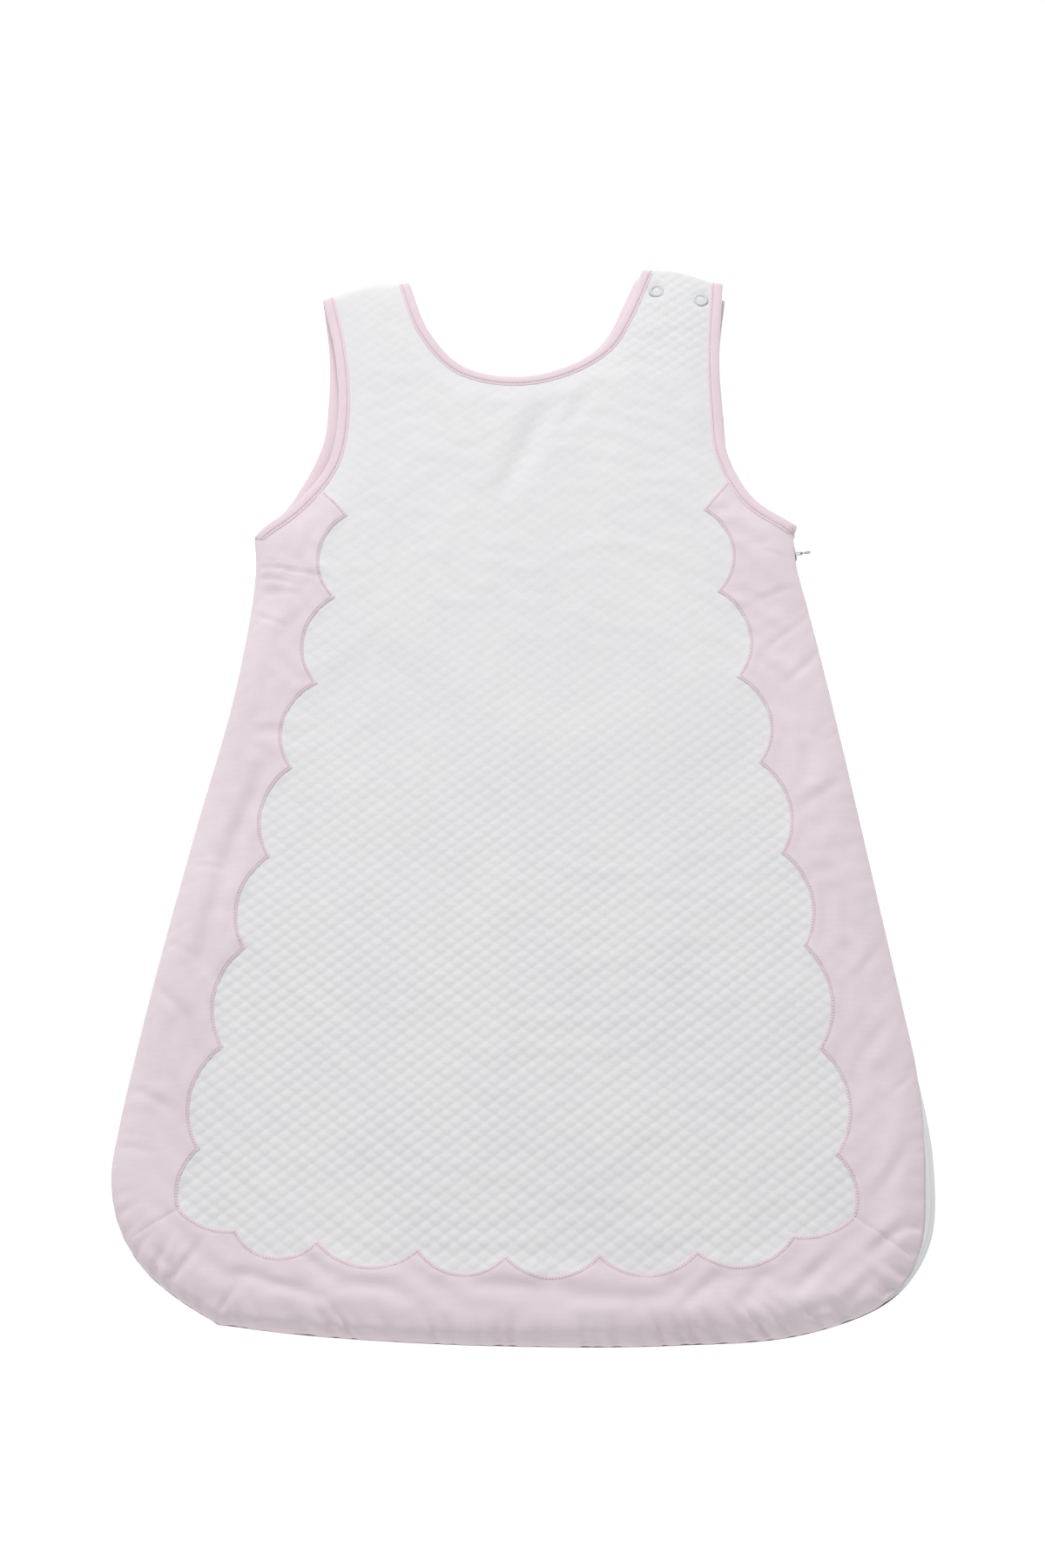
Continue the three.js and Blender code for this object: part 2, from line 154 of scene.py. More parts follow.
# ---- Lines in the plane ----


def spline(*places, step=2.5):
    """A centripetal Catmull-Rom curve through the places, sampled about every step."""
    def between(u, v, from_t, to_t, t):
        return (u * (to_t - t) + v * (t - from_t)) / (to_t - from_t)

    p = np.array(places, float)
    p = np.vstack([2 * p[0] - p[1], p, 2 * p[-1] - p[-2]])
    line = []
    for a, b, c, d in zip(p, p[1:], p[2:], p[3:]):
        steps = [math.sqrt(math.dist(u, v)) for u, v in ((a, b), (b, c), (c, d))]
        t0, t1, t2, t3 = np.cumsum([0] + steps)
        count = max(2, math.ceil(math.dist(b, c) / step))
        for t in np.linspace(t1, t2, count, endpoint=False):
            bc = between(b, c, t1, t2, t)
            abc = between(between(a, b, t0, t1, t), bc, t0, t2, t)
            bcd = between(bc, between(c, d, t2, t3, t), t1, t3, t)
            line.append(between(abc, bcd, t1, t2, t))
    line.append(p[-2])
    return np.array(line)


def straight(a, b, step=2.5):
    count = max(2, math.ceil(math.dist(a, b) / step) + 1)
    return np.linspace(a, b, count)


def joined(*lines):
    """One line from several, without doubled points where they meet."""
    points = np.vstack(lines)
    keep = np.ones(len(points), bool)
    keep[1:] = np.linalg.norm(np.diff(points, axis=0), axis=1) > 0.05
    return points[keep]


def lengths(line):
    """How far along the line each point is."""
    return np.concatenate([[0], np.cumsum(np.linalg.norm(np.diff(line, axis=0), axis=1))])


def at(line, where):
    """The points that lie the given distances along a line."""
    run = lengths(line)
    return np.stack([np.interp(where, run, line[:, k]) for k in range(line.shape[1])], axis=-1)


def evenly(line, step):
    count = max(2, round(lengths(line)[-1] / step) + 1)
    return at(line, np.linspace(0, lengths(line)[-1], count))


def normals(line):
    """Unit vectors that point to the left of the line at each of its points."""
    along = np.gradient(line[:, :2], axis=0)
    along /= np.linalg.norm(along, axis=1)[:, None]
    return np.stack([-along[:, 1], along[:, 0]], axis=1)


def inset(line, distance):
    return line + normals(line) * distance


def closed(outline):
    """An outline with its first point again at its end."""
    return np.vstack([outline, outline[:1]])


def scallop(a, b, depth, step=1.5):
    """A circular arc from cusp to cusp, without its last point, that stands out to the right of its chord."""
    a, b = np.array(a, float), np.array(b, float)
    half = math.dist(a, b) / 2
    radius = (half * half + depth * depth) / (2 * depth)
    reach = math.asin(min(1, half / radius))
    if depth > radius:
        reach = math.pi - reach
    along = (b - a) / (2 * half)
    outward = np.array([along[1], -along[0]])
    centre = (a + b) / 2 + outward * (depth - radius)
    angles = np.linspace(-reach, reach, max(4, math.ceil(2 * reach * radius / step)), endpoint=False)
    return centre + radius * (np.outer(np.sin(angles), along) + np.outer(np.cos(angles), outward))


def scallops(cusps, depths):
    return np.vstack([scallop(a, b, depth) for a, b, depth in zip(cusps, cusps[1:], depths)])


TREES = {}


def tree_of(line):
    """A search tree over a line whose segments are cut to at most a millimetre, with those points."""
    key = line.tobytes()
    if key not in TREES:
        pieces = []
        for a, b in zip(line, line[1:]):
            count = max(1, math.ceil(math.dist(a, b)))
            pieces.append(np.linspace(a, b, count, endpoint=False))
        dense = np.vstack([*pieces, line[-1:]])
        tree = KDTree(len(dense))
        for i, (x, y) in enumerate(dense):
            tree.insert((x, y, 0), i)
        tree.balance()
        TREES[key] = tree, dense
    return TREES[key]


def nearest_points(points, line):
    """The line's dense points, and which of them is nearest to each given point."""
    tree, dense = tree_of(line)
    return dense, np.array([tree.find((x, y, 0))[1] for x, y in points.tolist()], int)


def distance(points, line):
    """From each point to the nearest place on an open line."""
    dense, nearest = nearest_points(points, line)
    found = np.full(len(points), np.inf)
    for step in (-1, 0):
        first = np.clip(nearest + step, 0, len(dense) - 2)
        a, ab = dense[first], dense[first + 1] - dense[first]
        away = points - a
        t = np.clip((away * ab).sum(1) / (ab * ab).sum(1), 0, 1)
        found = np.minimum(found, np.linalg.norm(away - t[:, None] * ab, axis=1))
    return found


def inside(points, outline):
    """Which points lie inside a closed outline, by counting the edges to the right of each."""
    order = np.argsort(points[:, 1])
    x, y = points[order].T
    odd = np.zeros(len(points), bool)
    for a, b in zip(outline, np.roll(outline, -1, axis=0)):
        if a[1] != b[1]:
            first, last = np.searchsorted(y, sorted((a[1], b[1])))
            span = slice(first, last)
            odd[span] ^= x[span] < a[0] + (y[span] - a[1]) / (b[1] - a[1]) * (b[0] - a[0])
    found = np.zeros(len(points), bool)
    found[order] = odd
    return found


def beside(points, a, b):
    """How far each point lies to the left of the straight line from a to b."""
    along = np.array(b, float) - a
    along /= np.linalg.norm(along)
    away = points - np.array(a, float)
    return along[0] * away[:, 1] - along[1] * away[:, 0]


def smooth(t):
    t = np.clip(t, 0, 1)
    return t * t * (3 - 2 * t)


def roll(t):
    """The quarter circle that a rolled edge follows: 0 at the edge, 1 where the cloth lies flat."""
    return np.sqrt(1 - (1 - np.clip(t, 0, 1)) ** 2)


ZIP_SIDE = joined(
    spline(ZIP_END, (-110, -348), (-20, -353), (80, -353), (150, -347), (198, -328), (219, -300),
           (224.7, -256), SIDE_FOOT, step=1.5),
    spline(SIDE_FOOT, (186.5, 28), (175.5, 95), (170.7, 122), ARMPIT),
)
LEFT_SIDE = spline((-168, 146), (-166, 120), (-174, 38), (-193, -60), (-211.5, -161), (-222.5, -235),
                   (-224.5, -264), (-218, -290), (-204, -312), (-185, -328), ZIP_END)
RIGHT_ARMHOLE = spline((172, 152), (146, 172), (131, 205), (128.5, 240), (128.5, 285), (133, 341.4))
LEFT_STRAP_TOP = spline((-76, 344.3), (-104, 341.3), (-132.3, 330.3))
RIGHT_STRAP_TOP = spline((133, 341.4), (124.5, 342.2), (104, 349.6), (80.5, 353.3))
FRONT_NECK = spline((80.5, 353.3), (66, 315), (53.5, 292), (31, 275.5), (-2, 266), (-38, 274), (-61.5, 302),
                    (-76, 344.3))
FRONT_LEFT_ARMHOLE = spline((-132.3, 330.3), (-122.5, 285), (-118.5, 237), (-124, 197), (-145, 165),
                            (-168, 146))
BACK_STRAP_TOP = straight((135, 335), (76, 353))
BACK_RIGHT_ARMHOLE = spline((172, 152), (146, 174), (132.5, 207), (130, 243), (129.5, 290), (135, 335))
BACK_NECK = spline((76, 353), (66, 328), (57.5, 307.5), (48, 294), (29, 280), (-2, 271), (-36, 278),
                   (-60, 304), (-76, 344.3))
BACK_LEFT_ARMHOLE = spline((-132.3, 330.3), (-127, 290), (-126, 250), (-128.5, 219), (-146.5, 175),
                           (-168, 146))

# The zip tape shows beside the front's edge round the lower right corner, widest a third of the way up.
GAP_START = (181, -338)
GAP_WIDEST = (223, -276)
GAP_TOP = (217.5, -190)


def nearest_run(line, place):
    """How far along a line its nearest point to a place is."""
    return lengths(line)[np.linalg.norm(line - np.array(place), axis=1).argmin()]


def zip_gap(line):
    """How far the front's edge keeps back from the zip side at each point of it."""
    run = lengths(line)
    start, widest, top = (nearest_run(line, place) for place in (GAP_START, GAP_WIDEST, GAP_TOP))
    return ZIP_GAP_WIDTH * smooth((run - start) / (widest - start)) * smooth((top - run) / (top - widest))


FRONT_ZIP_EDGE = ZIP_SIDE + normals(ZIP_SIDE) * zip_gap(ZIP_SIDE)[:, None]
FRONT_BOUND_EDGES = (RIGHT_ARMHOLE, FRONT_NECK, FRONT_LEFT_ARMHOLE)
BACK_BOUND_EDGES = (BACK_RIGHT_ARMHOLE, BACK_NECK, BACK_LEFT_ARMHOLE)
FRONT_OUTLINE = joined(FRONT_ZIP_EDGE, RIGHT_ARMHOLE, RIGHT_STRAP_TOP, FRONT_NECK, LEFT_STRAP_TOP,
                       FRONT_LEFT_ARMHOLE, LEFT_SIDE)[:-1]
BACK_OUTLINE = joined(ZIP_SIDE, BACK_RIGHT_ARMHOLE, BACK_STRAP_TOP, BACK_NECK, LEFT_STRAP_TOP,
                      BACK_LEFT_ARMHOLE, LEFT_SIDE)[:-1]

LEFT_CUSPS = ((-109.7, 157.8), (-115.3, 98.7), (-123.9, 38.9), (-136.3, -17.8), (-146.6, -75),
              (-157.7, -132), (-166.7, -190.7), (-176.1, -249.3), MITRE_LEFT)
RIGHT_CUSPS = ((113.7, 162.3), (119.9, 103.4), (129.4, 43.1), (139.8, -13.8), (150.2, -72.8),
               (159.6, -130.8), (165, -191.5), (170.4, -252.4), MITRE_RIGHT)
HEM_CUSPS = ((-154, -293.7), (-109.9, -299.5), (-55.9, -303.5), (-9.1, -307.3), (40.8, -306.6),
             (93.1, -304.9), (144.5, -297))
SIDE_EDGE_LEFT = scallops(LEFT_CUSPS, SCALLOP_DEPTHS)
SIDE_EDGE_RIGHT = scallops(RIGHT_CUSPS[::-1], SCALLOP_DEPTHS[::-1])
HEM_EDGE = np.vstack([
    scallops((MITRE_LEFT, HEM_CUSPS[0]), (CORNER_SCALLOP_DEPTH,)),
    scallops(HEM_CUSPS, [HEM_SCALLOP_DEPTH] * (len(HEM_CUSPS) - 1)),
    scallops((HEM_CUSPS[-1], MITRE_RIGHT), (CORNER_SCALLOP_DEPTH,)),
])
# Above the first scallop each border runs out under the armhole binding.
BORDER_TOP_LEFT = (-145, 199)
BORDER_TOP_RIGHT = (150, 213)
SCALLOPED_EDGE = joined(straight(BORDER_TOP_LEFT, LEFT_CUSPS[0]), SIDE_EDGE_LEFT, HEM_EDGE, SIDE_EDGE_RIGHT,
                        straight(RIGHT_CUSPS[0], BORDER_TOP_RIGHT))
WINDOW = np.vstack([SCALLOPED_EDGE, (160, 400), (-160, 400)])
WINDOW_GUIDE = np.array([BORDER_TOP_LEFT, *LEFT_CUSPS, *HEM_CUSPS, *RIGHT_CUSPS[::-1], BORDER_TOP_RIGHT])


def past_edge(points):
    """How far each point lies outside the scalloped edge, and less than 0 inside it."""
    return distance(points, SCALLOPED_EDGE) * np.where(inside(points, WINDOW), -1, 1)


# ---- Cloth that settles over its padding ----

GRID = 6.0
GRID_LOW = np.array([-234.0, -360.0])
GRID_SIZE = (79, 121)
SETTLE_FRAMES = 28
SETTLE_EXCESS = 0.022
SETTLE_MOST = 3.2
SETTLE_LIFT = 0.3
PAD_DROP = 0.9
HELD_RIM = 9
QUILTING_HOLD = 0.02
QUILTED_SHARE = 0.4
settled_grid = np.zeros(GRID_SIZE)


def settled(points):
    """How far the settled cloth stands above its even height, blended from the nine nearest grid points."""
    where = (points - GRID_LOW) / GRID
    centre = np.clip(np.rint(where).astype(int), 1, np.array(GRID_SIZE) - 2)
    off = np.clip(where - centre, -0.5, 0.5)
    shares = np.stack([0.5 * (0.5 - off) ** 2, 0.75 - off ** 2, 0.5 * (0.5 + off) ** 2])
    height = np.zeros(len(points))
    for a in range(3):
        for b in range(3):
            stored = settled_grid[centre[:, 0] + a - 1, centre[:, 1] + b - 1]
            height += shares[a, :, 0] * shares[b, :, 1] * stored
    return height


def settle():
    """Simulates the front's cloth, cut a little large, as it settles over the padding inside its edges."""
    points = GRID_LOW + GRID * np.indices(GRID_SIZE).reshape(2, -1).T
    edge = distance(points, closed(FRONT_OUTLINE))
    within = inside(points, FRONT_OUTLINE) & (edge > 2)
    number = np.full(len(points), -1)
    number[within] = np.arange(within.sum())
    number = number.reshape(GRID_SIZE)
    corners = [number[:-1, :-1], number[1:, :-1], number[1:, 1:], number[:-1, 1:]]
    cells = np.stack(corners, axis=2).reshape(-1, 4)
    cells = cells[(cells >= 0).all(1)]
    flat, edge = points[within], edge[within]
    height = front_height(flat)
    sheet = make("settling_cloth", np.column_stack([flat, height + SETTLE_LIFT]), cells, WHITE)
    pad = make("settling_pad", np.column_stack([flat, height - PAD_DROP]), cells, WHITE)
    pad.modifiers.new("pad", "COLLISION")
    configure(pad.collision, thickness_outer=0.0006, cloth_friction=12)
    held = sheet.vertex_groups.new(name="held")
    quilted = inside(flat, WINDOW)
    held.add(np.flatnonzero(quilted).tolist(), QUILTING_HOLD, "REPLACE")
    held.add(np.flatnonzero(edge < HELD_RIM).tolist(), 1.0, "REPLACE")
    modifier = sheet.modifiers.new("cloth", "CLOTH")
    configure(modifier.settings, quality=6, mass=0.25, tension_stiffness=15, compression_stiffness=15,
              shear_stiffness=5, bending_stiffness=0.05, air_damping=2, shrink_min=-SETTLE_EXCESS,
              vertex_group_mass="held")
    modifier.collision_settings.distance_min = 0.0006
    configure(modifier.point_cache, frame_start=1, frame_end=SETTLE_FRAMES)
    scene = bpy.context.scene
    for step in range(1, SETTLE_FRAMES + 1):
        scene.frame_set(step)
    shown = sheet.evaluated_get(bpy.context.evaluated_depsgraph_get()).to_mesh()
    moved = np.array([v.co.z for v in shown.vertices]) / MM - height - SETTLE_LIFT
    scene.frame_set(1)
    for obj in (sheet, pad):
        bpy.data.objects.remove(obj)
    whole = np.zeros(len(points))
    whole[within] = SETTLE_MOST * np.tanh(moved / SETTLE_MOST) * smooth((edge - 6) / 14)
    whole[within] *= np.where(quilted, QUILTED_SHARE, 1)
    return whole.reshape(GRID_SIZE)


# ---- Heights ----

# The gathers run all along the closed edges: strong along the hem, slight up the sides.
GATHER_DEPTH = 3.8
GATHER_REACH = 12
GATHERS_FROM_Y = -265
SIDE_GATHERS = 0.16


def wave(points, size, seed, squeeze=1.0):
    """Soft unevenness from -1 to 1 whose bumps are about size long; squeeze narrows them across X."""
    return np.array([noise.noise((x * squeeze / size, y / size, seed)) for x, y in points])


def nearest_distance(points, lines):
    return np.min([distance(points, line) for line in lines], axis=0)


def creases(points):
    """Height of the short soft folds, each a groove between two low ridges."""
    height = np.zeros(len(points))
    for start, end, depth, width in FOLDS:
        a, ab = np.array(start, float), np.array(end, float) - start
        middle, reach = a + ab / 2, np.linalg.norm(ab) / 2 + 3 * width
        near = np.abs(points - middle).max(1) < reach
        away = points[near] - a
        t = np.clip(away @ ab / (ab @ ab), 0, 1)
        u = ((away - t[:, None] * ab) ** 2).sum(1) / width ** 2
        height[near] -= depth * (1 - u) * np.exp(-u) * np.sin(math.pi * (0.12 + 0.85 * t))
    return height


def gathered(line, pitch, seed):
    """A gathered edge: the line, distances along it, and the gathers' depth and reach at each of them."""
    random = np.random.default_rng(seed)
    run = np.arange(0, lengths(line)[-1], 0.5)
    depth = np.zeros(len(run))
    for centre in np.arange(pitch / 2, lengths(line)[-1], pitch):
        middle = centre + random.uniform(-0.4, 0.4) * pitch
        wide, deep = random.uniform(1.6, 3.4), random.uniform(0.2, 1.3)
        depth += deep * np.exp(-((run - middle) / wide) ** 2)
    at_hem = smooth((GATHERS_FROM_Y - at(line, run)[:, 1]) / 60)
    depth = np.tanh(depth) * (SIDE_GATHERS + (1 - SIDE_GATHERS) * at_hem)
    reach = GATHER_REACH + 8 * wave(np.column_stack([run, 0 * run]), 23, 7.5)
    return line, run, depth, reach


# Creases that the front shows, as (start, end, depth, width).
FOLDS = [
    ((16, 243), (-14, 170), 2.1, 11), ((44, 254), (20, 212), 0.9, 8),
    ((-168, 124), (-120, 112), 1.5, 1.9), ((-167, 129), (-146, 122), 0.7, 1.6),
    ((-166, 116), (-136, 106), 1.0, 2.2), ((-168, 90), (-142, 76), 1.0, 2.2),
    ((-160, 104), (-136, 100), 0.9, 4), ((-158, 110), (-150, 82), 1.6, 9),
    ((-152, -14), (-179, -108), 2.0, 9), ((-174, -96), (-184, -150), 1.6, 8),
    ((-198, -78), (-170, -84), 0.6, 2.4), ((-206, -126), (-184, -138), 0.5, 2.6),
    ((-210, -150), (-186, -176), 0.9, 4), ((-219, -212), (-190, -228), 0.8, 3.6),
    ((-222, -246), (-198, -252), 0.5, 2.6), ((-178, -258), (-190, -300), 0.7, 6),
    ((-172, -300), (-187, -322), 1.3, 3.4), ((-178, -308), (-184, -316), 1.1, 1.7),
    ((-182, -315), (-193, -322), 1.3, 2.0), ((-197, -303), (-186, -316), 1.0, 3),
    ((-163, -341), (-149, -320), 1.2, 2.4), ((-158, -330), (-138, -302), 0.9, 8),
    ((-150, -317), (-104, -331), 1.1, 3.6), ((-120, -304), (-104, -318), 0.7, 4),
    ((-92, -320), (-60, -330), 0.6, 5), ((-30, -322), (44, -327), 0.6, 7),
    ((82, -336), (107, -316), 1.1, 4.5), ((112, -340), (132, -312), 1.1, 5.5),
    ((144, -328), (171, -301), 1.6, 5), ((138, -343), (168, -331), 1.3, 3.6),
    ((166, -338), (190, -314), 1.5, 5), ((186, -306), (209, -288), 1.6, 4.5),
    ((200, -296), (216, -290), 0.8, 2.2), ((192, -276), (214, -242), 0.8, 4.5),
    ((203, -218), (219, -205), 0.8, 2.4), ((188, -200), (210, -168), 0.7, 5),
    ((188, -150), (207, -128), 0.7, 3.6), ((166, -42), (196, -18), 0.7, 5),
    ((158, 38), (183, 64), 0.8, 3.6), ((148, 62), (175, 86), 0.7, 3),
    ((146, 98), (170, 108), 0.8, 3.2), ((150, 132), (166, 128), 0.5, 2.4),
    ((176, -292), (206, -322), 1.6, 12), ((120, -318), (60, -330), 0.8, 10),
]
GATHERED_EDGES = (gathered(LEFT_SIDE, 12, 3), gathered(FRONT_ZIP_EDGE, 11, 5))


def gathers(points):
    """How the gathers along the closed edges move each point, as (x, y, z)."""
    moved = np.zeros((len(points), 3))
    for line, run, depth, reach in GATHERED_EDGES:
        away = distance(points, line)
        near = away < 30
        away = away[near]
        dense, nearest = nearest_points(points[near], line)
        place = lengths(dense)[nearest]
        slant = (0.45 + 0.45 * np.sin(place / 37.0)) * away
        pull = GATHER_DEPTH * np.interp(place + slant, run, depth)
        inward = np.stack([np.interp(place, lengths(line), normals(line)[:, k]) for k in (0, 1)], axis=1)
        moved[near, :2] += inward * (0.2 * pull * np.exp(-(away / 7) ** 2))[:, None]
        moved[near, 2] -= pull * np.exp(-(away / np.interp(place, run, reach)) ** 2) * smooth(away / 2.5)
    return moved


def front_height(points):
    """Height of the front's top surface, without the quilting."""
    left, zipped = distance(points, LEFT_SIDE), distance(points, FRONT_ZIP_EDGE)
    bound = nearest_distance(points, FRONT_BOUND_EDGES)
    top = FRONT_TOP - EDGE_SINK * np.exp(-(bound / EDGE_SINK_REACH) ** 2)
    top += 1.0 * wave(points, 85, 1.5) + 0.5 * wave(points, 34, 4.5, 1.4) + settled(points)
    top += creases(points) + STRAP_RISE * smooth((points[:, 1] - 270) / 60)
    for place in SNAP_PLACES:
        away = np.linalg.norm(points - np.array(place), axis=1)
        top -= SNAP_DIMPLE * np.exp(-((away - SNAP_OUTER + 0.6) / 2.2) ** 2)
    at_hem = smooth((HEM_FROM_Y - points[:, 1]) / HEM_BLEND)
    top += HEM_BULGE * at_hem * np.exp(-((np.minimum(left, zipped) - HEM_BULGE_INSET) / 8) ** 2)
    zip_edge_z = HEM_EDGE_Z + (ZIP_EDGE_Z - HEM_EDGE_Z) * smooth((points[:, 1] + 345) / 18)
    zip_edge_z -= ZIP_CORNER_DROP * smooth((-points[:, 1] - 190) / 60)
    side_roll = FRONT_ROLL + (HEM_ROLL - FRONT_ROLL) * at_hem
    zip_roll = side_roll + CORNER_ROLL * at_hem * smooth((points[:, 0] + 60) / 180)
    drops = (
        (top - LEFT_SEAM_Z) * (1 - roll(left / side_roll)),
        (top - zip_edge_z) * (1 - roll(zipped / zip_roll)),
        (top - SHOULDER_SEAM_Z) * (1 - roll(distance(points, LEFT_STRAP_TOP) / SHOULDER_ROLL)),
        STRAP_END_DROP * (1 - roll(distance(points, RIGHT_STRAP_TOP) / STRAP_END_ROLL)),
    )
    return top - np.max(drops, axis=0) + gathers(points)[:, 2]


def quilting(points):
    """Relief of the diamond quilting, low on the chest and flatter still by bindings, snaps and border."""
    s = points[:, 0] / QUILT_WIDTH + points[:, 1] / QUILT_HEIGHT
    t = points[:, 0] / QUILT_WIDTH - points[:, 1] / QUILT_HEIGHT
    cushion = (np.abs(np.sin(math.pi * s)) * np.abs(np.sin(math.pi * t))) ** QUILT_SHARPNESS
    bound = nearest_distance(points, FRONT_BOUND_EDGES)
    flat = smooth((bound - 5) / 6) * smooth((1 - past_edge(points)) / 2.5)
    for place in SNAP_PLACES:
        away = np.linalg.norm(points - np.array(place), axis=1)
        flat *= smooth((away - SNAP_OUTER) / 5) + 0.5 * (away < SNAP_INNER)
    full = CHEST_SHARE + (1 - CHEST_SHARE) * smooth((150 - points[:, 1]) / 350)
    full += 0.4 * smooth((points[:, 1] - 250) / 50) * smooth((points[:, 0] - 20) / 60)
    return QUILT_RELIEF * full * (0.2 + 0.8 * flat) * cushion * (1 + 0.2 * wave(points, 30, 8.5))


def back_height(points):
    """Height of the back panel's outer surface, which the bag lies on."""
    left, zipped = distance(points, LEFT_SIDE), distance(points, ZIP_SIDE)
    shoulder = distance(points, LEFT_STRAP_TOP)
    rises = (
        (LEFT_SEAM_Z - SEAM_PLY) * (1 - roll(left / BACK_ROLL)),
        BACK_ZIP_EDGE_Z * (1 - roll(zipped / BACK_ROLL)),
        (SHOULDER_SEAM_Z - SEAM_PLY) * (1 - roll(shoulder / SHOULDER_ROLL)),
    )
    return 0.35 + 0.3 * wave(points, 60, 12.5) + np.max(rises, axis=0)


# ---- Meshes ----


def configure(thing, **values):
    """Sets several attributes at once."""
    for key, value in values.items():
        setattr(thing, key, value)
    return thing


def add(name, data):
    """A new object in the scene."""
    obj = bpy.data.objects.new(name, data)
    bpy.context.scene.collection.objects.link(obj)
    return obj


def ease(obj, width):
    """Rounds a hard part's sharp edges."""
    configure(obj.modifiers.new("eased_edges", "BEVEL"), width=width * MM, segments=2, limit_method="ANGLE",
              angle_limit=math.radians(CRISP_ANGLE))


def make(name, points, faces, material, uv=None, crisp=None):
    """A mesh object from points in millimetres. uv holds each point's place on the flat cloth."""
    mesh = bpy.data.meshes.new(name)
    mesh.from_pydata((np.asarray(points, float) * MM).tolist(), [], [list(map(int, f)) for f in faces])
    if uv is not None:
        loops = np.zeros(len(mesh.loops), np.int32)
        mesh.loops.foreach_get("vertex_index", loops)
        layer = mesh.uv_layers.new(name="cloth")
        layer.data.foreach_set("uv", (np.asarray(uv, float)[loops] * MM).astype(np.float32).ravel())
    mesh.shade_smooth()
    if crisp is not None:
        mesh.set_sharp_from_angle(angle=math.radians(crisp))
    mesh.materials.append(material)
    return add(name, mesh)


def quilt_lattice(outline):
    """Points along the quilting's diamonds, closest together at their seams."""
    low, high = outline.min(0), outline.max(0)
    widest, tallest = np.abs([low, high]).max(0)
    reach = int(widest / QUILT_WIDTH + tallest / QUILT_HEIGHT) + 2
    steps = (np.arange(-reach, reach)[:, None] + np.array(QUILT_STEPS)).ravel()
    s, t = (grid.ravel() for grid in np.meshgrid(steps, steps))
    points = np.stack([(s + t) * QUILT_WIDTH / 2, (s - t) * QUILT_HEIGHT / 2], axis=1)
    return points[((points > low) & (points < high)).all(1)]


def lattice(outline, spacing):
    """Points of even triangles that cover an outline's box."""
    low, high = outline.min(0), outline.max(0)
    dx, dy = spacing / 2, spacing * math.sqrt(3) / 2
    i, j = np.meshgrid(np.arange(math.floor(low[0] / dx), math.ceil(high[0] / dx)),
                       np.arange(math.floor(low[1] / dy), math.ceil(high[1] / dy)))
    i, j = i.ravel(), j.ravel()
    even = (i + j) % 2 == 0
    return np.stack([i[even] * dx, j[even] * dy], axis=1)


def plan(outline, points, rings=(), cuts=(), clear=0.7):
    """Triangles that fill a closed outline with the given points. Each ring is (line, insets): rows of
    points along an edge, which the other points keep clear of. Cuts are lines that triangles don't cross."""
    points = points[inside(points, outline)]
    rows = []
    for line, insets in rings:
        points = points[distance(points, line) > max(insets) + clear]
        rows += [inset(line, across) for across in insets]
    lines = [closed(outline), *cuts]
    for line in lines:
        points = points[distance(points, line) > clear]
    if rows:
        row_points = np.vstack(rows)
        row_points = row_points[inside(row_points, outline)]
        for line in lines:
            row_points = row_points[distance(row_points, line) > 0.25]
        points = np.vstack([points, row_points])
    count = len(outline)
    verts = [Vector(p) for p in outline]
    edges = []
    for cut in cuts:
        first = len(verts)
        verts += [Vector(p) for p in cut]
        edges += [(first + k, first + k + 1) for k in range(len(cut) - 1)]
    verts += [Vector(p) for p in points]
    flat, _, faces, *_ = delaunay_2d_cdt(verts, edges, [list(range(count))], 1, 1e-5)
    return np.array([tuple(v) for v in flat]), np.array([f for f in faces if len(f) == 3])


def part_of(flat, faces, wanted):
    """The faces that are wanted, with only the points they use."""
    used, faces = np.unique(faces[wanted], return_inverse=True)
    return flat[used], faces.reshape(-1, 3)


def rim(faces):
    """Boundary edges of a set of triangles, each in its face's direction."""
    edges = np.concatenate([faces[:, [0, 1]], faces[:, [1, 2]], faces[:, [2, 0]]])
    _, first, uses = np.unique(np.sort(edges, axis=1), axis=0, return_index=True, return_counts=True)
    return edges[first[uses == 1]]


# How far out, and what share of the way down, each row of a turned edge lies.
TURNED_UNDER = ((0.28, 0.35), (0.3, 0.75), (0.05, 1.0))


def surface(name, flat, faces, height, material, hem=None, shift=None):
    """A cloth surface over its flat plan. hem = (line, drop) turns the rim on a line down and under."""
    points = np.column_stack([flat, height])
    if shift is not None:
        points += shift
    uv, faces = flat, [list(f) for f in faces]
    if hem:
        line, drop = hem
        edges = rim(np.array(faces))
        edges = edges[(distance(flat, line) < 0.05)[edges].all(1)]
        used, local = np.unique(edges, return_inverse=True)
        local = local.reshape(-1, 2)
        along = flat[edges[:, 1]] - flat[edges[:, 0]]
        across = np.stack([along[:, 1], -along[:, 0]], axis=1) / np.linalg.norm(along, axis=1)[:, None]
        outward = np.zeros((len(used), 2))
        np.add.at(outward, local, across[:, None])
        outward /= np.linalg.norm(outward, axis=1)[:, None]
        first = len(points)
        for out, down in TURNED_UNDER:
            ring = np.column_stack([flat[used] + outward * out, height[used] - drop * down])
            points, uv = np.vstack([points, ring]), np.vstack([uv, flat[used] + outward * (drop * down)])
        above = used[local]
        for level in range(len(TURNED_UNDER)):
            below = first + level * len(used) + local
            faces += [[a[1], a[0], b[0], b[1]] for a, b in zip(above, below)]
            above = below
    return make(name, points, faces, material, uv)


def slab(name, flat, faces, low, high, material):
    """A closed soft layer between two heights."""
    count = len(flat)
    points = np.vstack([np.column_stack([flat, high]), np.column_stack([flat, low])])
    sides = [[b, a, a + count, b + count] for a, b in rim(faces)]
    below = faces[:, ::-1] + count
    return make(name, points, [*faces.tolist(), *below.tolist(), *sides], material, np.vstack([flat, flat]))


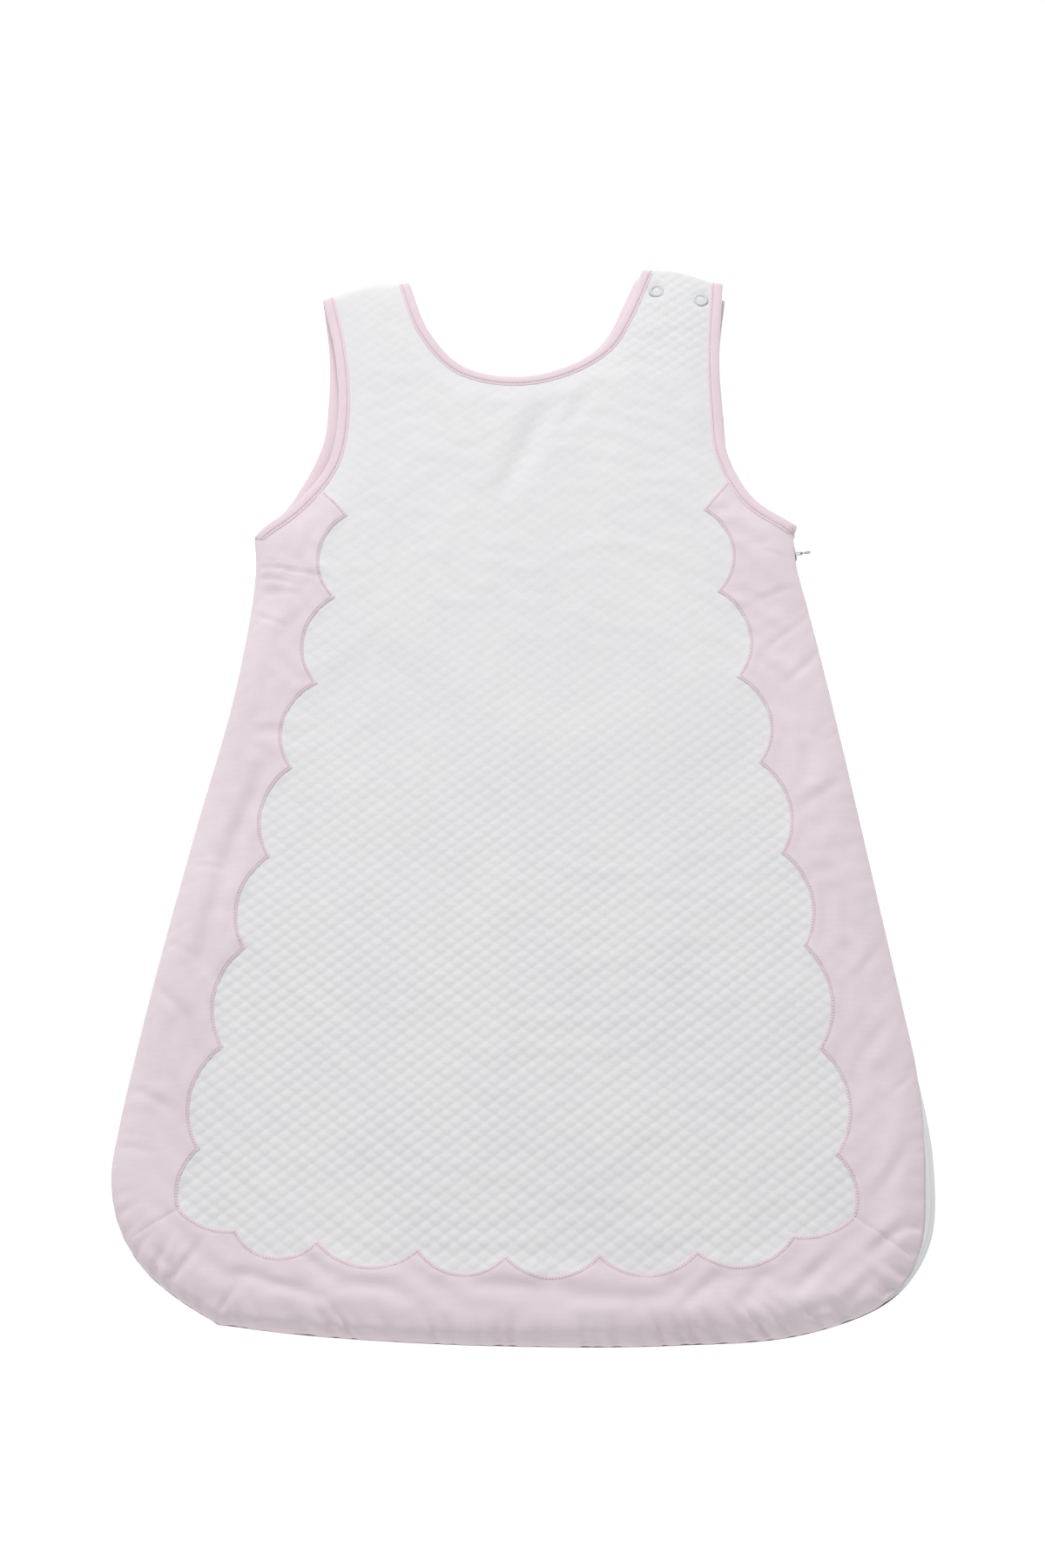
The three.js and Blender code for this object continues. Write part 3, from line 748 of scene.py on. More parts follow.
def tube_faces(rings, ring_size, first=0):
    """Faces of a closed-section sweep with flat ends."""
    ring = np.arange(ring_size)
    a = first + np.arange(rings - 1)[:, None] * ring_size + ring
    b = first + np.arange(rings - 1)[:, None] * ring_size + (ring + 1) % ring_size
    sides = np.stack([a, a + ring_size, b + ring_size, b], axis=2).reshape(-1, 4)
    last = first + (rings - 1) * ring_size
    return [*sides.tolist(), (first + ring).tolist(), (last + ring[::-1]).tolist()]


def sweep(line, base, section):
    """Points of a section swept along a line. The section's points are (inset, height above base), and base
    holds a height for each ring, or for each point of each ring."""
    base = np.asarray(base, float).reshape(len(line), -1)
    place = line[:, None, :] + normals(line)[:, None, :] * section[None, :, :1]
    height = base + section[None, :, 1]
    return np.concatenate([place, height[:, :, None]], axis=2)


def swept(name, rings, line, section, material, crisp=None):
    uv = [(s, a) for s in lengths(line) for a in lengths(section)]
    return make(name, rings.reshape(-1, 3), tube_faces(len(rings), len(section)), material, uv, crisp)


def turned(profile, place, segments=48):
    """A ring turned about an upright axis, as (points, faces); the profile is (radius, height) points."""
    angles = np.linspace(0, 2 * math.pi, segments, endpoint=False)
    points = [(place[0] + r * math.cos(a), place[1] + r * math.sin(a), z) for a in angles for r, z in profile]
    count = len(profile)
    faces = []
    for i in range(segments):
        this, following = i * count, (i + 1) % segments * count
        for j in range(count):
            k = (j + 1) % count
            faces.append([this + j, following + j, following + k, this + k])
    return points, faces


def stitches(name, starts, ends, material, radius=0.22, arch=0.18, sides=4):
    """Short thread stitches between 3-D points, as one mesh."""
    starts, ends = np.asarray(starts, float), np.asarray(ends, float)
    along = ends - starts
    along /= np.linalg.norm(along, axis=1)[:, None]
    side = np.cross(along, (0, 0, 1))
    side /= np.linalg.norm(side, axis=1)[:, None]
    up = np.cross(side, along)
    rows = ((0.0, 0.35, -0.12), (0.2, 1.0, 0.6), (0.8, 1.0, 0.6), (1.0, 0.35, -0.12))
    points = []
    for t, fat, lift in rows:
        middle = starts + (ends - starts) * t + up * (arch * lift)
        for k in range(sides):
            angle = 2 * math.pi * (k + 0.5) / sides
            points.append(middle + radius * fat * (math.cos(angle) * side + math.sin(angle) * up))
    points = np.stack(points, axis=1).reshape(-1, 3)
    faces = []
    for i in range(len(starts)):
        faces += tube_faces(len(rows), sides, i * len(rows) * sides)
    return make(name, points, faces, material)


def stitch_run(line, height, pitch=2.7, share=0.78):
    """Start and end points of stitches that follow a line at the given heights."""
    full = np.column_stack([line, height])
    count = max(1, int(lengths(full)[-1] / pitch))
    first = np.arange(count) * pitch
    return at(full, first), at(full, first + pitch * share)


# ---- Materials ----

# A wave texture's scale for bands one unit apart is pi / 10.
BANDS_PER_WIDTH = 0.314


def feed(socket, value):
    """Puts a value on a socket, or links it to the socket that the value comes from."""
    if isinstance(value, bpy.types.NodeSocket):
        socket.id_data.links.new(value, socket)
    else:
        socket.default_value = value


def node(tree, kind, *inputs, **values):
    """A shader node. Its sockets are fed in order or by name, and any other name is one of its settings."""
    made = tree.nodes.new("ShaderNode" + kind)
    for key, value in values.items():
        if key in made.inputs:
            feed(made.inputs[key], value)
        else:
            setattr(made, key, value)
    for socket, value in zip(made.inputs, inputs):
        feed(socket, value)
    return made


def mixed(tree, factor, a, b, blend_type="MIX"):
    """Two colours mixed by a factor."""
    mix = node(tree, "Mix", data_type="RGBA", blend_type=blend_type, Factor=factor)
    for socket, value in zip([s for s in mix.inputs if s.type == "RGBA"], (a, b)):
        feed(socket, value)
    return [s for s in mix.outputs if s.type == "RGBA"][0]


def ranged(tree, value, low, high, of_low=0.0, of_high=1.0):
    """A value that runs from of_low to of_high, carried over to the range from low to high."""
    limits = {"From Min": of_low, "From Max": of_high, "To Min": low, "To Max": high}
    return node(tree, "MapRange", Value=value, **limits).outputs["Result"]


def colour(srgb):
    """Scene-linear colour from 0-255 values."""
    linear = [((c / 255 + 0.055) / 1.055) ** 2.4 for c in srgb]
    return (*linear, 1)


def new_material(name):
    """A material, its node tree and its shader's inputs."""
    material = bpy.data.materials.new(name)
    material.use_nodes = True
    return material, material.node_tree, material.node_tree.nodes["Principled BSDF"].inputs


def cloth(name, base, tint, thread, weave, bump, flat_uv=True):
    """Woven cotton: crossed threads, uneven yarn and soft colour variation. Sizes in millimetres."""
    material, tree, inputs = new_material(name)
    where = node(tree, "TexCoord").outputs["UV" if flat_uv else "Object"]
    warp, weft = (
        node(tree, "TexWave", bands_direction=way, Scale=BANDS_PER_WIDTH / (thread * MM), Distortion=0.6,
             Detail=1.0, Vector=where).outputs["Fac"]
        for way in "XY"
    )
    along_yarn = node(tree, "Mapping", Scale=(1.0, 7.0, 1.0), Vector=where).outputs["Vector"]
    slub = node(tree, "TexNoise", Scale=90.0, Detail=3.0, Roughness=0.6, Vector=along_yarn).outputs["Fac"]
    blotch = node(tree, "TexNoise", Scale=14.0, Detail=2.0, Roughness=0.5, Vector=where).outputs["Fac"]
    crossed = node(tree, "Math", warp, weft, operation="MAXIMUM").outputs[0]
    uneven = node(tree, "Math", slub, 0.6, blotch, operation="MULTIPLY_ADD").outputs[0]
    dyed = mixed(tree, ranged(tree, uneven, 0.0, 1.0, 0.45, 1.15), colour(base), colour(tint))
    relief = node(tree, "Math", crossed, slub, operation="ADD").outputs[0]
    raised = node(tree, "Bump", Strength=bump, Distance=0.12 * MM, Height=relief)
    feed(inputs["Base Color"], mixed(tree, weave, dyed, crossed, "MULTIPLY"))
    feed(inputs["Roughness"], ranged(tree, slub, 0.82, 0.96))
    feed(inputs["Normal"], raised.outputs["Normal"])
    feed(inputs["Sheen Weight"], 0.12)
    feed(inputs["Sheen Roughness"], 0.6)
    feed(inputs["Specular IOR Level"], 0.15)
    return material


def hard(name, base, metal=0.0):
    """Enamel or metal with fine scratches and a faintly uneven finish."""
    material, tree, inputs = new_material(name)
    where = node(tree, "TexCoord").outputs["Object"]
    grain = node(tree, "TexNoise", Scale=900.0, Detail=4.0, Vector=where).outputs["Fac"]
    raised = node(tree, "Bump", Strength=0.15, Distance=0.05 * MM, Height=grain)
    feed(inputs["Base Color"], mixed(tree, grain, colour(base), colour([c * 0.9 for c in base])))
    feed(inputs["Roughness"], ranged(tree, grain, 0.37, 0.57))
    feed(inputs["Normal"], raised.outputs["Normal"])
    feed(inputs["Metallic"], metal)
    return material


WHITE = cloth("white_matelasse", (237, 237, 238), (231, 231, 233), thread=0.7, weave=0.1, bump=0.35)
PINK = cloth("pink_cotton", (238, 225, 231), (229, 214, 222), thread=0.45, weave=0.1, bump=0.2)
BINDING = cloth("pink_binding", (239, 222, 230), (232, 212, 221), thread=0.45, weave=0.1, bump=0.25)
LINING = cloth("white_lining", (242, 241, 240), (236, 235, 234), thread=0.5, weave=0.08, bump=0.15)
WADDING = cloth("wadding", (246, 246, 243), (238, 238, 235), thread=2.4, weave=0.05, bump=0.8)
TAPE = cloth("zip_tape", (232, 234, 235), (224, 226, 228), thread=0.9, weave=0.1, bump=0.4)
COIL = hard("zip_coil", (228, 230, 231))
ENAMEL = hard("snap_enamel", (216, 219, 222))
METAL = hard("zip_metal", (200, 203, 207), metal=0.35)
PINK_THREAD = cloth("pink_thread", (228, 196, 209), (218, 184, 197), thread=0.4, weave=0.1, bump=0.3,
                    flat_uv=False)

# ---- Placing pieces ----

FOLD_ALONG = np.subtract(FOLD_TOP, FOLD_BOTTOM, dtype=float)
FOLD_ALONG /= np.linalg.norm(FOLD_ALONG)


def place(obj, where, slot, *nodes):
    """Puts a piece on its body, or for the fold and the flap bakes its transform into its mesh, and has it
    stand for CAD nodes.
    """
    if where == "fold":
        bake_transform(obj)
    elif where == "flap":
        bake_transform(obj)
    else:
        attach(obj, where)
    if nodes:
        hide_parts(*nodes)
    return obj


def on_flap(points):
    return (points[:, 1] > FLAP_LINE_Y) & (points[:, 0] > FLAP_LEFT_X)


settled_grid = settle()

ROLLED = (0.3, 0.9, 1.8, 3.0, 4.6)
FLAP_CUT = straight((FLAP_LEFT_X, FLAP_LINE_Y), (145, FLAP_LINE_Y), 1.6)

# White quilted panel, with the strap's part of it beyond the flap line.
panel_outline = joined(RIGHT_ARMHOLE, RIGHT_STRAP_TOP, FRONT_NECK, LEFT_STRAP_TOP, FRONT_LEFT_ARMHOLE,
                       LEFT_SIDE, FRONT_ZIP_EDGE)[:-1]
flat, faces = plan(
    panel_outline,
    quilt_lattice(panel_outline),
    rings=[(RIGHT_STRAP_TOP, ROLLED[:3]), (LEFT_STRAP_TOP, ROLLED)],
    cuts=[FLAP_CUT],
)
middle = flat[faces].mean(1)
under = inside(middle, WINDOW) | (distance(middle, WINDOW_GUIDE) < UNDER_BORDER)
keep_in = nearest_distance(middle, (LEFT_SIDE, FRONT_ZIP_EDGE)) > 8
flap = on_flap(middle)
wanted = under & keep_in
PANEL_PARTS = (
    ("quilted_panel", wanted & ~flap, "fold", ("front_centre_panel", "front_centre_panel_fold_side")),
    ("quilted_strap", wanted & flap, "flap", ("strap_centre_panel",)),
)
for name, chosen, where, nodes in PANEL_PARTS:
    part, part_faces = part_of(flat, faces, chosen)
    height = front_height(part) + quilting(part) - PANEL_DIP * smooth(past_edge(part) / 4)
    panel = surface(name, part, part_faces, height, WHITE)
    place(panel, where, "white_matelasse", *nodes)

# Pink borders on top, cut at the mitres.
MITRE_CUT_LEFT = straight(MITRE_LEFT, MITRE_LEFT_FOOT, 1.6)
MITRE_CUT_RIGHT = straight(MITRE_RIGHT, MITRE_RIGHT_FOOT, 1.6)
flat, faces = plan(
    FRONT_OUTLINE,
    lattice(FRONT_OUTLINE, 2.1),
    rings=[(LEFT_SIDE, ROLLED), (FRONT_ZIP_EDGE, ROLLED)],
    cuts=[SCALLOPED_EDGE, MITRE_CUT_LEFT, MITRE_CUT_RIGHT],
)
middle = flat[faces].mean(1)
pink = ~inside(middle, WINDOW)
below_left = beside(middle, MITRE_LEFT, MITRE_LEFT_FOOT) > 0
below_right = beside(middle, MITRE_RIGHT_FOOT, MITRE_RIGHT) > 0
hem_part = pink & below_left & below_right
BORDER_PARTS = (
    ("border_left", pink & ~hem_part & (middle[:, 0] < 0), "back", ("border_left",)),
    ("border_right", pink & ~hem_part & (middle[:, 0] > 0), "front", ("border_right",)),
    ("border_hem", hem_part, "fold", ("border_hem", "border_hem_fold_side")),
)


def border_height(points):
    """Height of the pink border's top, with its turned-under edge, its stitching and its mitre seams."""
    edge = distance(points, SCALLOPED_EDGE)
    mitre = nearest_distance(points, (MITRE_CUT_LEFT, MITRE_CUT_RIGHT))
    zipped = nearest_distance(points, (FRONT_ZIP_EDGE, LEFT_SIDE))
    lift = BORDER_LIFT + FOLDED_EDGE_LIFT * (1 - smooth((edge - FOLDED_EDGE_WIDTH + 1) / 2))
    lift -= PIN_GROOVE * np.exp(-(edge - PIN_INSET) ** 2 / 0.5)
    lift -= MITRE_GROOVE * np.exp(-(mitre / 0.9) ** 2)
    return front_height(points) + lift * smooth(zipped / 8)


for name, chosen, where, nodes in BORDER_PARTS:
    part, part_faces = part_of(flat, faces, chosen)
    border = surface("pink_" + name, part, part_faces, border_height(part), PINK,
                     hem=(SCALLOPED_EDGE, HEM_DROP), shift=gathers(part) * (1, 1, 0))
    place(border, where, "pink_cotton", *nodes)

# Pinstitching just inside the scalloped edges: a line of thread with a bite over the edge at each stitch.
EDGES = (
    ("pin_stitches_left", joined(straight((-124, 174.6), LEFT_CUSPS[0]), SIDE_EDGE_LEFT), "back"),
    ("pin_stitches_hem", HEM_EDGE, "fold"),
    ("pin_stitches_right", joined(SIDE_EDGE_RIGHT, straight(RIGHT_CUSPS[0], (129, 183.9))), "front"),
)
for name, edge, where in EDGES:
    edge = evenly(edge, PIN_PITCH)
    outer = inset(edge, -PIN_INSET)
    clear = distance(outer, SCALLOPED_EDGE) > PIN_INSET * 0.9
    edge, outer = edge[clear], outer[clear]
    outer_z, edge_z = border_height(outer) + 0.05, border_height(inset(edge, -0.2)) + 0.02
    steps = np.linalg.norm(np.diff(outer, axis=0), axis=1) < 2 * PIN_PITCH
    starts, ends = np.column_stack([outer, outer_z]), np.column_stack([edge, edge_z])
    along_from, along_to = starts[:-1][steps], starts[1:][steps]
    thread = stitches(name, np.vstack([starts, along_from]), np.vstack([ends, along_to]), PINK_THREAD,
                      radius=0.13, arch=0.1)
    place(thread, where, "pink_cotton")

# ---- Bias bindings ----


def binding_section(thickness, width):
    """Tape folded over the edge: (inset, height above the cloth's top)."""
    under, stitched = -thickness, width - BINDING_FLANGE
    top = [(width + 0.2, -0.2), (width, 0.22), (width - 0.5, 0.42), (stitched + 0.4, 0.52), (stitched, 0.3),
           (stitched - 0.5, 0.8), (4.0, 0.9), (2.2, 0.85), (0.9, 0.55), (0.25, 0.05)]
    nose = [(0.0, -0.8), (0.0, under + 0.6)]
    bottom = [(0.5, under - 0.5), (1.7, under - 0.9), (3.4, under - 0.9), (stitched - 0.3, under - 0.7),
              (stitched, under - 0.4), (stitched + 0.3, under - 0.6), (width, under - 0.5), (width, under)]
    inner = [(1.1, under + 0.1), (0.7, under / 2), (1.1, -0.3)]
    return np.array(top + nose + bottom + inner)


def bind(parts, line, top, thickness, seed, width=BINDING_WIDTH):
    """Sweeps a binding along a line and sews it. Each part is (name, where, CAD node), and of two parts the
    second is the strap's, beyond the flap line."""
    line = evenly(line, 1.6)
    over_flap = np.flatnonzero(np.diff(on_flap(line).astype(int)))
    for i in over_flap[:1]:
        share = (FLAP_LINE_Y - line[i, 1]) / (line[i + 1, 1] - line[i, 1])
        line[i if share < 0.5 else i + 1] = line[i] + share * (line[i + 1] - line[i])
    section = binding_section(thickness, width)
    sampled = (2, width / 2, width)
    heights = np.stack([top(inset(line, across)) for across in sampled], axis=1)
    base = np.array([np.interp(section[:, 0], sampled, height) for height in heights])
    base += 0.09 * wave(line, 6, seed)[:, None] + 0.05 * wave(line, 2.4, seed + 0.5)[:, None]
    rings = sweep(line, base, section)
    middle = rings[:, :, 2].mean(axis=1, keepdims=True)
    run = lengths(line)
    pinch = np.interp(run, (0, 2.5), (0.45, 1)) * np.interp(run[::-1], (0, 2.5), (0.45, 1))
    rings[:, :, 2] = middle + (rings[:, :, 2] - middle) * pinch[:, None]
    groove = inset(line, width - BINDING_FLANGE)
    groove_z = top(groove) + 0.45
    for name, where, cad in parts:
        chosen = np.ones(len(line), bool)
        if where == "flap":
            chosen = (line[:, 1] >= FLAP_LINE_Y - ON_FLAP_LINE) & (line[:, 0] > FLAP_LEFT_X)
        elif len(parts) > 1:
            chosen = (line[:, 1] <= FLAP_LINE_Y + ON_FLAP_LINE) | (line[:, 0] <= FLAP_LEFT_X)
        tape = swept(name, rings[chosen], line[chosen], section, BINDING, crisp=55)
        place(tape, where, "pink_binding", cad)
        starts, ends = stitch_run(groove[chosen], groove_z[chosen])
        thread = stitches(name + "_stitches", starts, ends, PINK_THREAD, radius=0.18)
        place(thread, where, "pink_binding")


def bound_height(points):
    """Height of the cloth under a front binding, which steps up where the pink border lies."""
    return front_height(points) + smooth((past_edge(points) + 2) / 3) * (BORDER_LIFT + 0.1)


def back_top(points):
    return np.full(len(points), BACK_TOP) + 0.15 * wave(points, 40, 20.5)


bind([("binding_neck", "fold", "front_neck_binding"), ("binding_neck_strap", "flap", "strap_neck_binding")],
     FRONT_NECK, bound_height, FRONT_THICKNESS, 11)
bind([("binding_right_armhole", "front", "right_armhole_binding_front"),
      ("binding_right_armhole_strap", "flap", "strap_armhole_binding")],
     RIGHT_ARMHOLE, bound_height, FRONT_THICKNESS, 12, WIDE_BINDING_WIDTH)
bind([("binding_left_armhole", "back", "left_armhole_binding_front")],
     FRONT_LEFT_ARMHOLE, bound_height, FRONT_THICKNESS, 13)
bind([("binding_back_neck", "back", "back_neck_binding")], BACK_NECK, back_top, BACK_THICKNESS, 14)
bind([("binding_back_left", "back", "left_armhole_binding_back")],
     BACK_LEFT_ARMHOLE, back_top, BACK_THICKNESS, 15, BACK_LEFT_BINDING_WIDTH)
bind([("binding_back_right", "back", "right_armhole_binding_back")],
     BACK_RIGHT_ARMHOLE, back_top, BACK_THICKNESS, 16)

# ---- Inner layers and the back ----

# How deep under the front's top the lining and the wadding's two sides lie. Towards a seam they close up.
LINING_DEPTH = 4.2
WADDING_DEPTH = 3.8
WADDING_TOP_DEPTH = 0.5
SEAM_TAPER = 9
BACK_LINING_RISE = 4.6
BACK_WADDING_RISE = 4.1

flat, faces = plan(
    FRONT_OUTLINE,
    lattice(FRONT_OUTLINE, 5),
    rings=[(LEFT_SIDE, (1.0, 2.5, 5)), (FRONT_ZIP_EDGE, (1.0, 2.5, 5))],
    cuts=[FLAP_CUT],
)
middle = flat[faces].mean(1)
flap = on_flap(middle)
front_edges = (LEFT_SIDE, FRONT_ZIP_EDGE, *FRONT_BOUND_EDGES, RIGHT_STRAP_TOP, LEFT_STRAP_TOP)
clear_of_edge = nearest_distance(middle, front_edges) > 2.2
for layer_name, slot in (("lining", "white_lining"), ("wadding", "wadding")):
    front_nodes = (f"front_{layer_name}", f"front_{layer_name}_fold_side")
    for name, chosen, where, nodes in (
        (f"front_{layer_name}", ~flap & clear_of_edge, "fold", front_nodes),
        (f"strap_{layer_name}", flap & clear_of_edge, "flap", (f"strap_{layer_name}",)),
    ):
        part, part_faces = part_of(flat, faces, chosen)
        top = front_height(part)
        seam = nearest_distance(part, (LEFT_SIDE, FRONT_ZIP_EDGE, LEFT_STRAP_TOP))
        thin = smooth(seam / SEAM_TAPER)
        if layer_name == "lining":
            layer = surface(name, part, part_faces[:, ::-1], top - 0.4 - LINING_DEPTH * thin, LINING)
        else:
            squeezed = 0.6 * (WADDING_DEPTH - WADDING_TOP_DEPTH) * smooth((24 - seam) / 12)
            upper = top - 0.3 - (WADDING_TOP_DEPTH + squeezed) * thin
            layer = slab(name, part, part_faces, top - 0.35 - WADDING_DEPTH * thin, upper, WADDING)
        place(layer, where, slot, *nodes)

flat, faces = plan(
    BACK_OUTLINE,
    lattice(BACK_OUTLINE, 4),
    rings=[(LEFT_SIDE, ROLLED), (ZIP_SIDE, ROLLED), (LEFT_STRAP_TOP, ROLLED[:4])],
)
outer = surface("back_panel", flat, faces[:, ::-1], back_height(flat), PINK)
place(outer, "back", "pink_cotton", "back_outer_panel")

middle = flat[faces].mean(1)
back_edges = (LEFT_SIDE, ZIP_SIDE, *BACK_BOUND_EDGES, BACK_STRAP_TOP, LEFT_STRAP_TOP)
part, part_faces = part_of(flat, faces, nearest_distance(middle, back_edges) > 1.0)
low = back_height(part)
thin = smooth(nearest_distance(part, (LEFT_SIDE, ZIP_SIDE, LEFT_STRAP_TOP)) / SEAM_TAPER)
top = low + 0.5 + BACK_LINING_RISE * thin + 0.15 * wave(part, 40, 20.5)
lining = surface("back_lining", part, part_faces, top, LINING)
place(lining, "back", "white_lining", "back_lining")
upper = low + 0.4 + BACK_WADDING_RISE * thin
wadding = slab("back_wadding", part, part_faces, low + 0.3, upper, WADDING)
place(wadding, "back", "wadding", "back_wadding")

# Closed side seam and shoulder: two plies of seam allowance inside the rolled edge, as (inset, height).
ALLOWANCE = np.array([(0.35, -0.55), (7.5, -0.5), (7.5, -0.05), (0.9, -0.1), (7.5, 0.05), (7.5, 0.5),
                      (0.35, 0.45), (0.15, 0.0)])
for name, line, z, material, slot in (
    ("left_side_seam", LEFT_SIDE, LEFT_SEAM_Z, PINK, "pink_cotton"),
    ("left_shoulder_fold", LEFT_STRAP_TOP, SHOULDER_SEAM_Z, WHITE, "white_matelasse"),
):
    line = evenly(line, 4)[1:-1]
    rings = sweep(line, np.full(len(line), z - 0.15), ALLOWANCE)
    allowance = swept(name, rings, line, ALLOWANCE, material)
    place(allowance, "back", slot, name)

# ---- Zip ----

ZIP_MIDDLE_Z = 8.8
COIL_PITCH = 1.5
COIL_FROM = 0.25
COIL_TO = 2.3
COIL_LIFT = 0.35
TAPE_INSET_HEM = 4.4
TAPE_DROP_HEM = 1.6
TAPE_INSET_SIDE = 1.0
# The tape's section, folded at the zip's edge, as (inset, height above the zip's middle).
UPPER_TAPE = np.array([
    (9.0, 1.7), (4.4, 1.9), (3.6, 2.5), (2.8, 2.55), (2.2, 2.0), (1.2, 2.2), (0.4, 2.0), (0.0, 1.5),
    (0.05, 1.05), (0.6, 0.85), (1.3, 0.85), (1.3, 1.25), (0.6, 1.35), (0.6, 1.6), (2.2, 1.5), (3.2, 1.9),
    (4.4, 1.4), (9.0, 1.2),
])
hem_share = 1 - smooth((lengths(ZIP_SIDE) - nearest_run(ZIP_SIDE, GAP_START) + 30) / 60)
side_share = smooth((ZIP_SIDE[:, 1] - GAP_TOP[1] + 40) / 60)
tape_inset = TAPE_INSET_HEM * hem_share + TAPE_INSET_SIDE * side_share
tape_z = ZIP_MIDDLE_Z - TAPE_DROP_HEM * hem_share
zip_line = evenly(np.column_stack([ZIP_SIDE + normals(ZIP_SIDE) * tape_inset[:, None], tape_z]), 2.0)
zip_run = lengths(zip_line)
zip_line = zip_line[(zip_run > 4) & (zip_run < zip_run[-1] - 5)]
zip_line, zip_z = zip_line[:, :2], zip_line[:, 2]
for side, sign, where in (("front", 1, "fold"), ("back", -1, "back")):
    section = UPPER_TAPE * (1, sign)
    rings = sweep(zip_line, zip_z, section)
    if sign < 0:
        rings, section = rings[:, ::-1], section[::-1]
    tape = swept(f"tape_{side}", rings, zip_line, section, TAPE)
    place(tape, where, "zip_tape", f"zip_tape_{side}")
    coil_line, coil_z = zip_line[3:-3], zip_z[3:-3]
    count = int(lengths(coil_line)[-1] / COIL_PITCH)
    middles = at(coil_line, (np.arange(count) + (0.5 if sign > 0 else 0.0)) * COIL_PITCH)
    beside_coil = at(np.column_stack([coil_line, normals(coil_line), coil_z]), np.arange(count) * COIL_PITCH)
    across, level = beside_coil[:, 2:4], beside_coil[:, 4] + COIL_LIFT * sign
    starts = np.column_stack([middles + across * COIL_FROM, level])
    ends = np.column_stack([middles + across * COIL_TO, level])
    coil = stitches(f"coil_{side}", starts, ends, COIL, radius=0.5, arch=0.0, sides=6)
    place(coil, where, "zip_coil", f"zip_coil_{side}")

# ---- Snaps, slider and pull ----

# A ring snap's section, as (radius, height above the cloth).
SNAP_RING = (
    (SNAP_INNER, -0.5), (SNAP_INNER - 0.05, 0.05), (SNAP_INNER + 0.2, 0.28), (SNAP_INNER + 0.6, 0.36),
    (SNAP_OUTER - 0.8, 0.42), (SNAP_OUTER - 0.3, 0.32), (SNAP_OUTER - 0.05, 0.1), (SNAP_OUTER, -0.25),
    (SNAP_OUTER - 0.2, -0.5),
)
for number, spot in enumerate(SNAP_PLACES, 1):
    around = np.linspace(0, 2 * math.pi, 12, endpoint=False)
    rim_places = np.array(spot) + (SNAP_OUTER - 0.6) * np.stack([np.cos(around), np.sin(around)], axis=1)
    top = float(front_height(rim_places).max()) + 0.12
    ring = [(radius, top + level) for radius, level in SNAP_RING]
    cap = make(f"snap_cap_{number}", *turned(ring, spot), ENAMEL, crisp=CRISP_ANGLE)
    place(cap, "shoulder_strap", "snap_enamel", f"snap_cap_{number}")

# The slider and pull are closed shells in the slider's own frame: X out of the bag, Y up the side, Z up.
SLIDER_BELOW_ARMPIT = 11
PIN_OUT = 3.4
UP_THE_SIDE = np.array(ARMPIT, float) - SIDE_FOOT
UP_THE_SIDE /= np.linalg.norm(UP_THE_SIDE)
OUT_OF_SIDE = np.array([UP_THE_SIDE[1], -UP_THE_SIDE[0]])
SLIDER_CENTRE = np.array(ARMPIT) - UP_THE_SIDE * SLIDER_BELOW_ARMPIT


def prism(outline, low, high, axis="z"):
    """A closed prism as (points, faces): an anticlockwise outline carried from low to high along an axis."""
    count = len(outline)
    points = [(a, b, level) for level in (low, high) for a, b in outline]
    if axis == "y":
        points = [(a, -level, b) for a, b, level in points]
    faces = [[i, (i + 1) % count, count + (i + 1) % count, count + i] for i in range(count)]
    return points, [*faces, list(range(count))[::-1], list(range(count, 2 * count))]


def rounded(left, low, right, high, radius, steps=4):
    """Anticlockwise outline of a box with round corners."""
    corners = ((right - radius, high - radius, 0), (left + radius, high - radius, 1),
               (left + radius, low + radius, 2), (right - radius, low + radius, 3))
    turns = np.linspace(0, math.pi / 2, steps)
    return [(x + radius * math.cos(t + k * math.pi / 2), y + radius * math.sin(t + k * math.pi / 2))
            for x, y, k in corners for t in turns]


def circle(x, radius, sides=16):
    """Anticlockwise outline of a circle centred on (x, 0)."""
    angles = np.linspace(0, 2 * math.pi, sides, endpoint=False)
    return [(x + radius * math.cos(a), radius * math.sin(a)) for a in angles]


def on_slider(name, shells, where):
    """One piece from shells in the slider's own frame."""
    points, faces = [], []
    for shell_points, shell_faces in shells:
        faces += [[len(points) + i for i in face] for face in shell_faces]
        points += [(*(SLIDER_CENTRE + x * OUT_OF_SIDE + y * UP_THE_SIDE), z) for x, y, z in shell_points]
    obj = make(name, points, faces, METAL, crisp=CRISP_ANGLE)
    ease(obj, 0.1)
    place(obj, where, "zip_metal", name)


# An outer plate, an inner plate, the wedge between them, two ears and the pull's pin.
SLIDER_HALF = 4.2
EAR_HALF = 0.38
slider_shells = [
    prism(rounded(-0.9, -SLIDER_HALF, -0.4, SLIDER_HALF, 0.22), 7.1, 10.5),
    prism(rounded(-4.6, -SLIDER_HALF, -3.9, SLIDER_HALF, 0.25), ZIP_MIDDLE_Z - 0.8, ZIP_MIDDLE_Z + 0.8),
    prism(rounded(-4.0, 0.6, -0.6, 3.8, 0.4), ZIP_MIDDLE_Z - 0.4, ZIP_MIDDLE_Z + 0.4),
    prism(rounded(-0.6, -EAR_HALF, PIN_OUT + 0.5, EAR_HALF, 0.3), 7.2, 7.7),
    prism(rounded(-0.6, -EAR_HALF, PIN_OUT + 0.5, EAR_HALF, 0.3), 9.9, 10.4),
    prism(circle(PIN_OUT, 0.35), 7.6, 10.0),
]
on_slider("zip_slider", slider_shells, "slider")

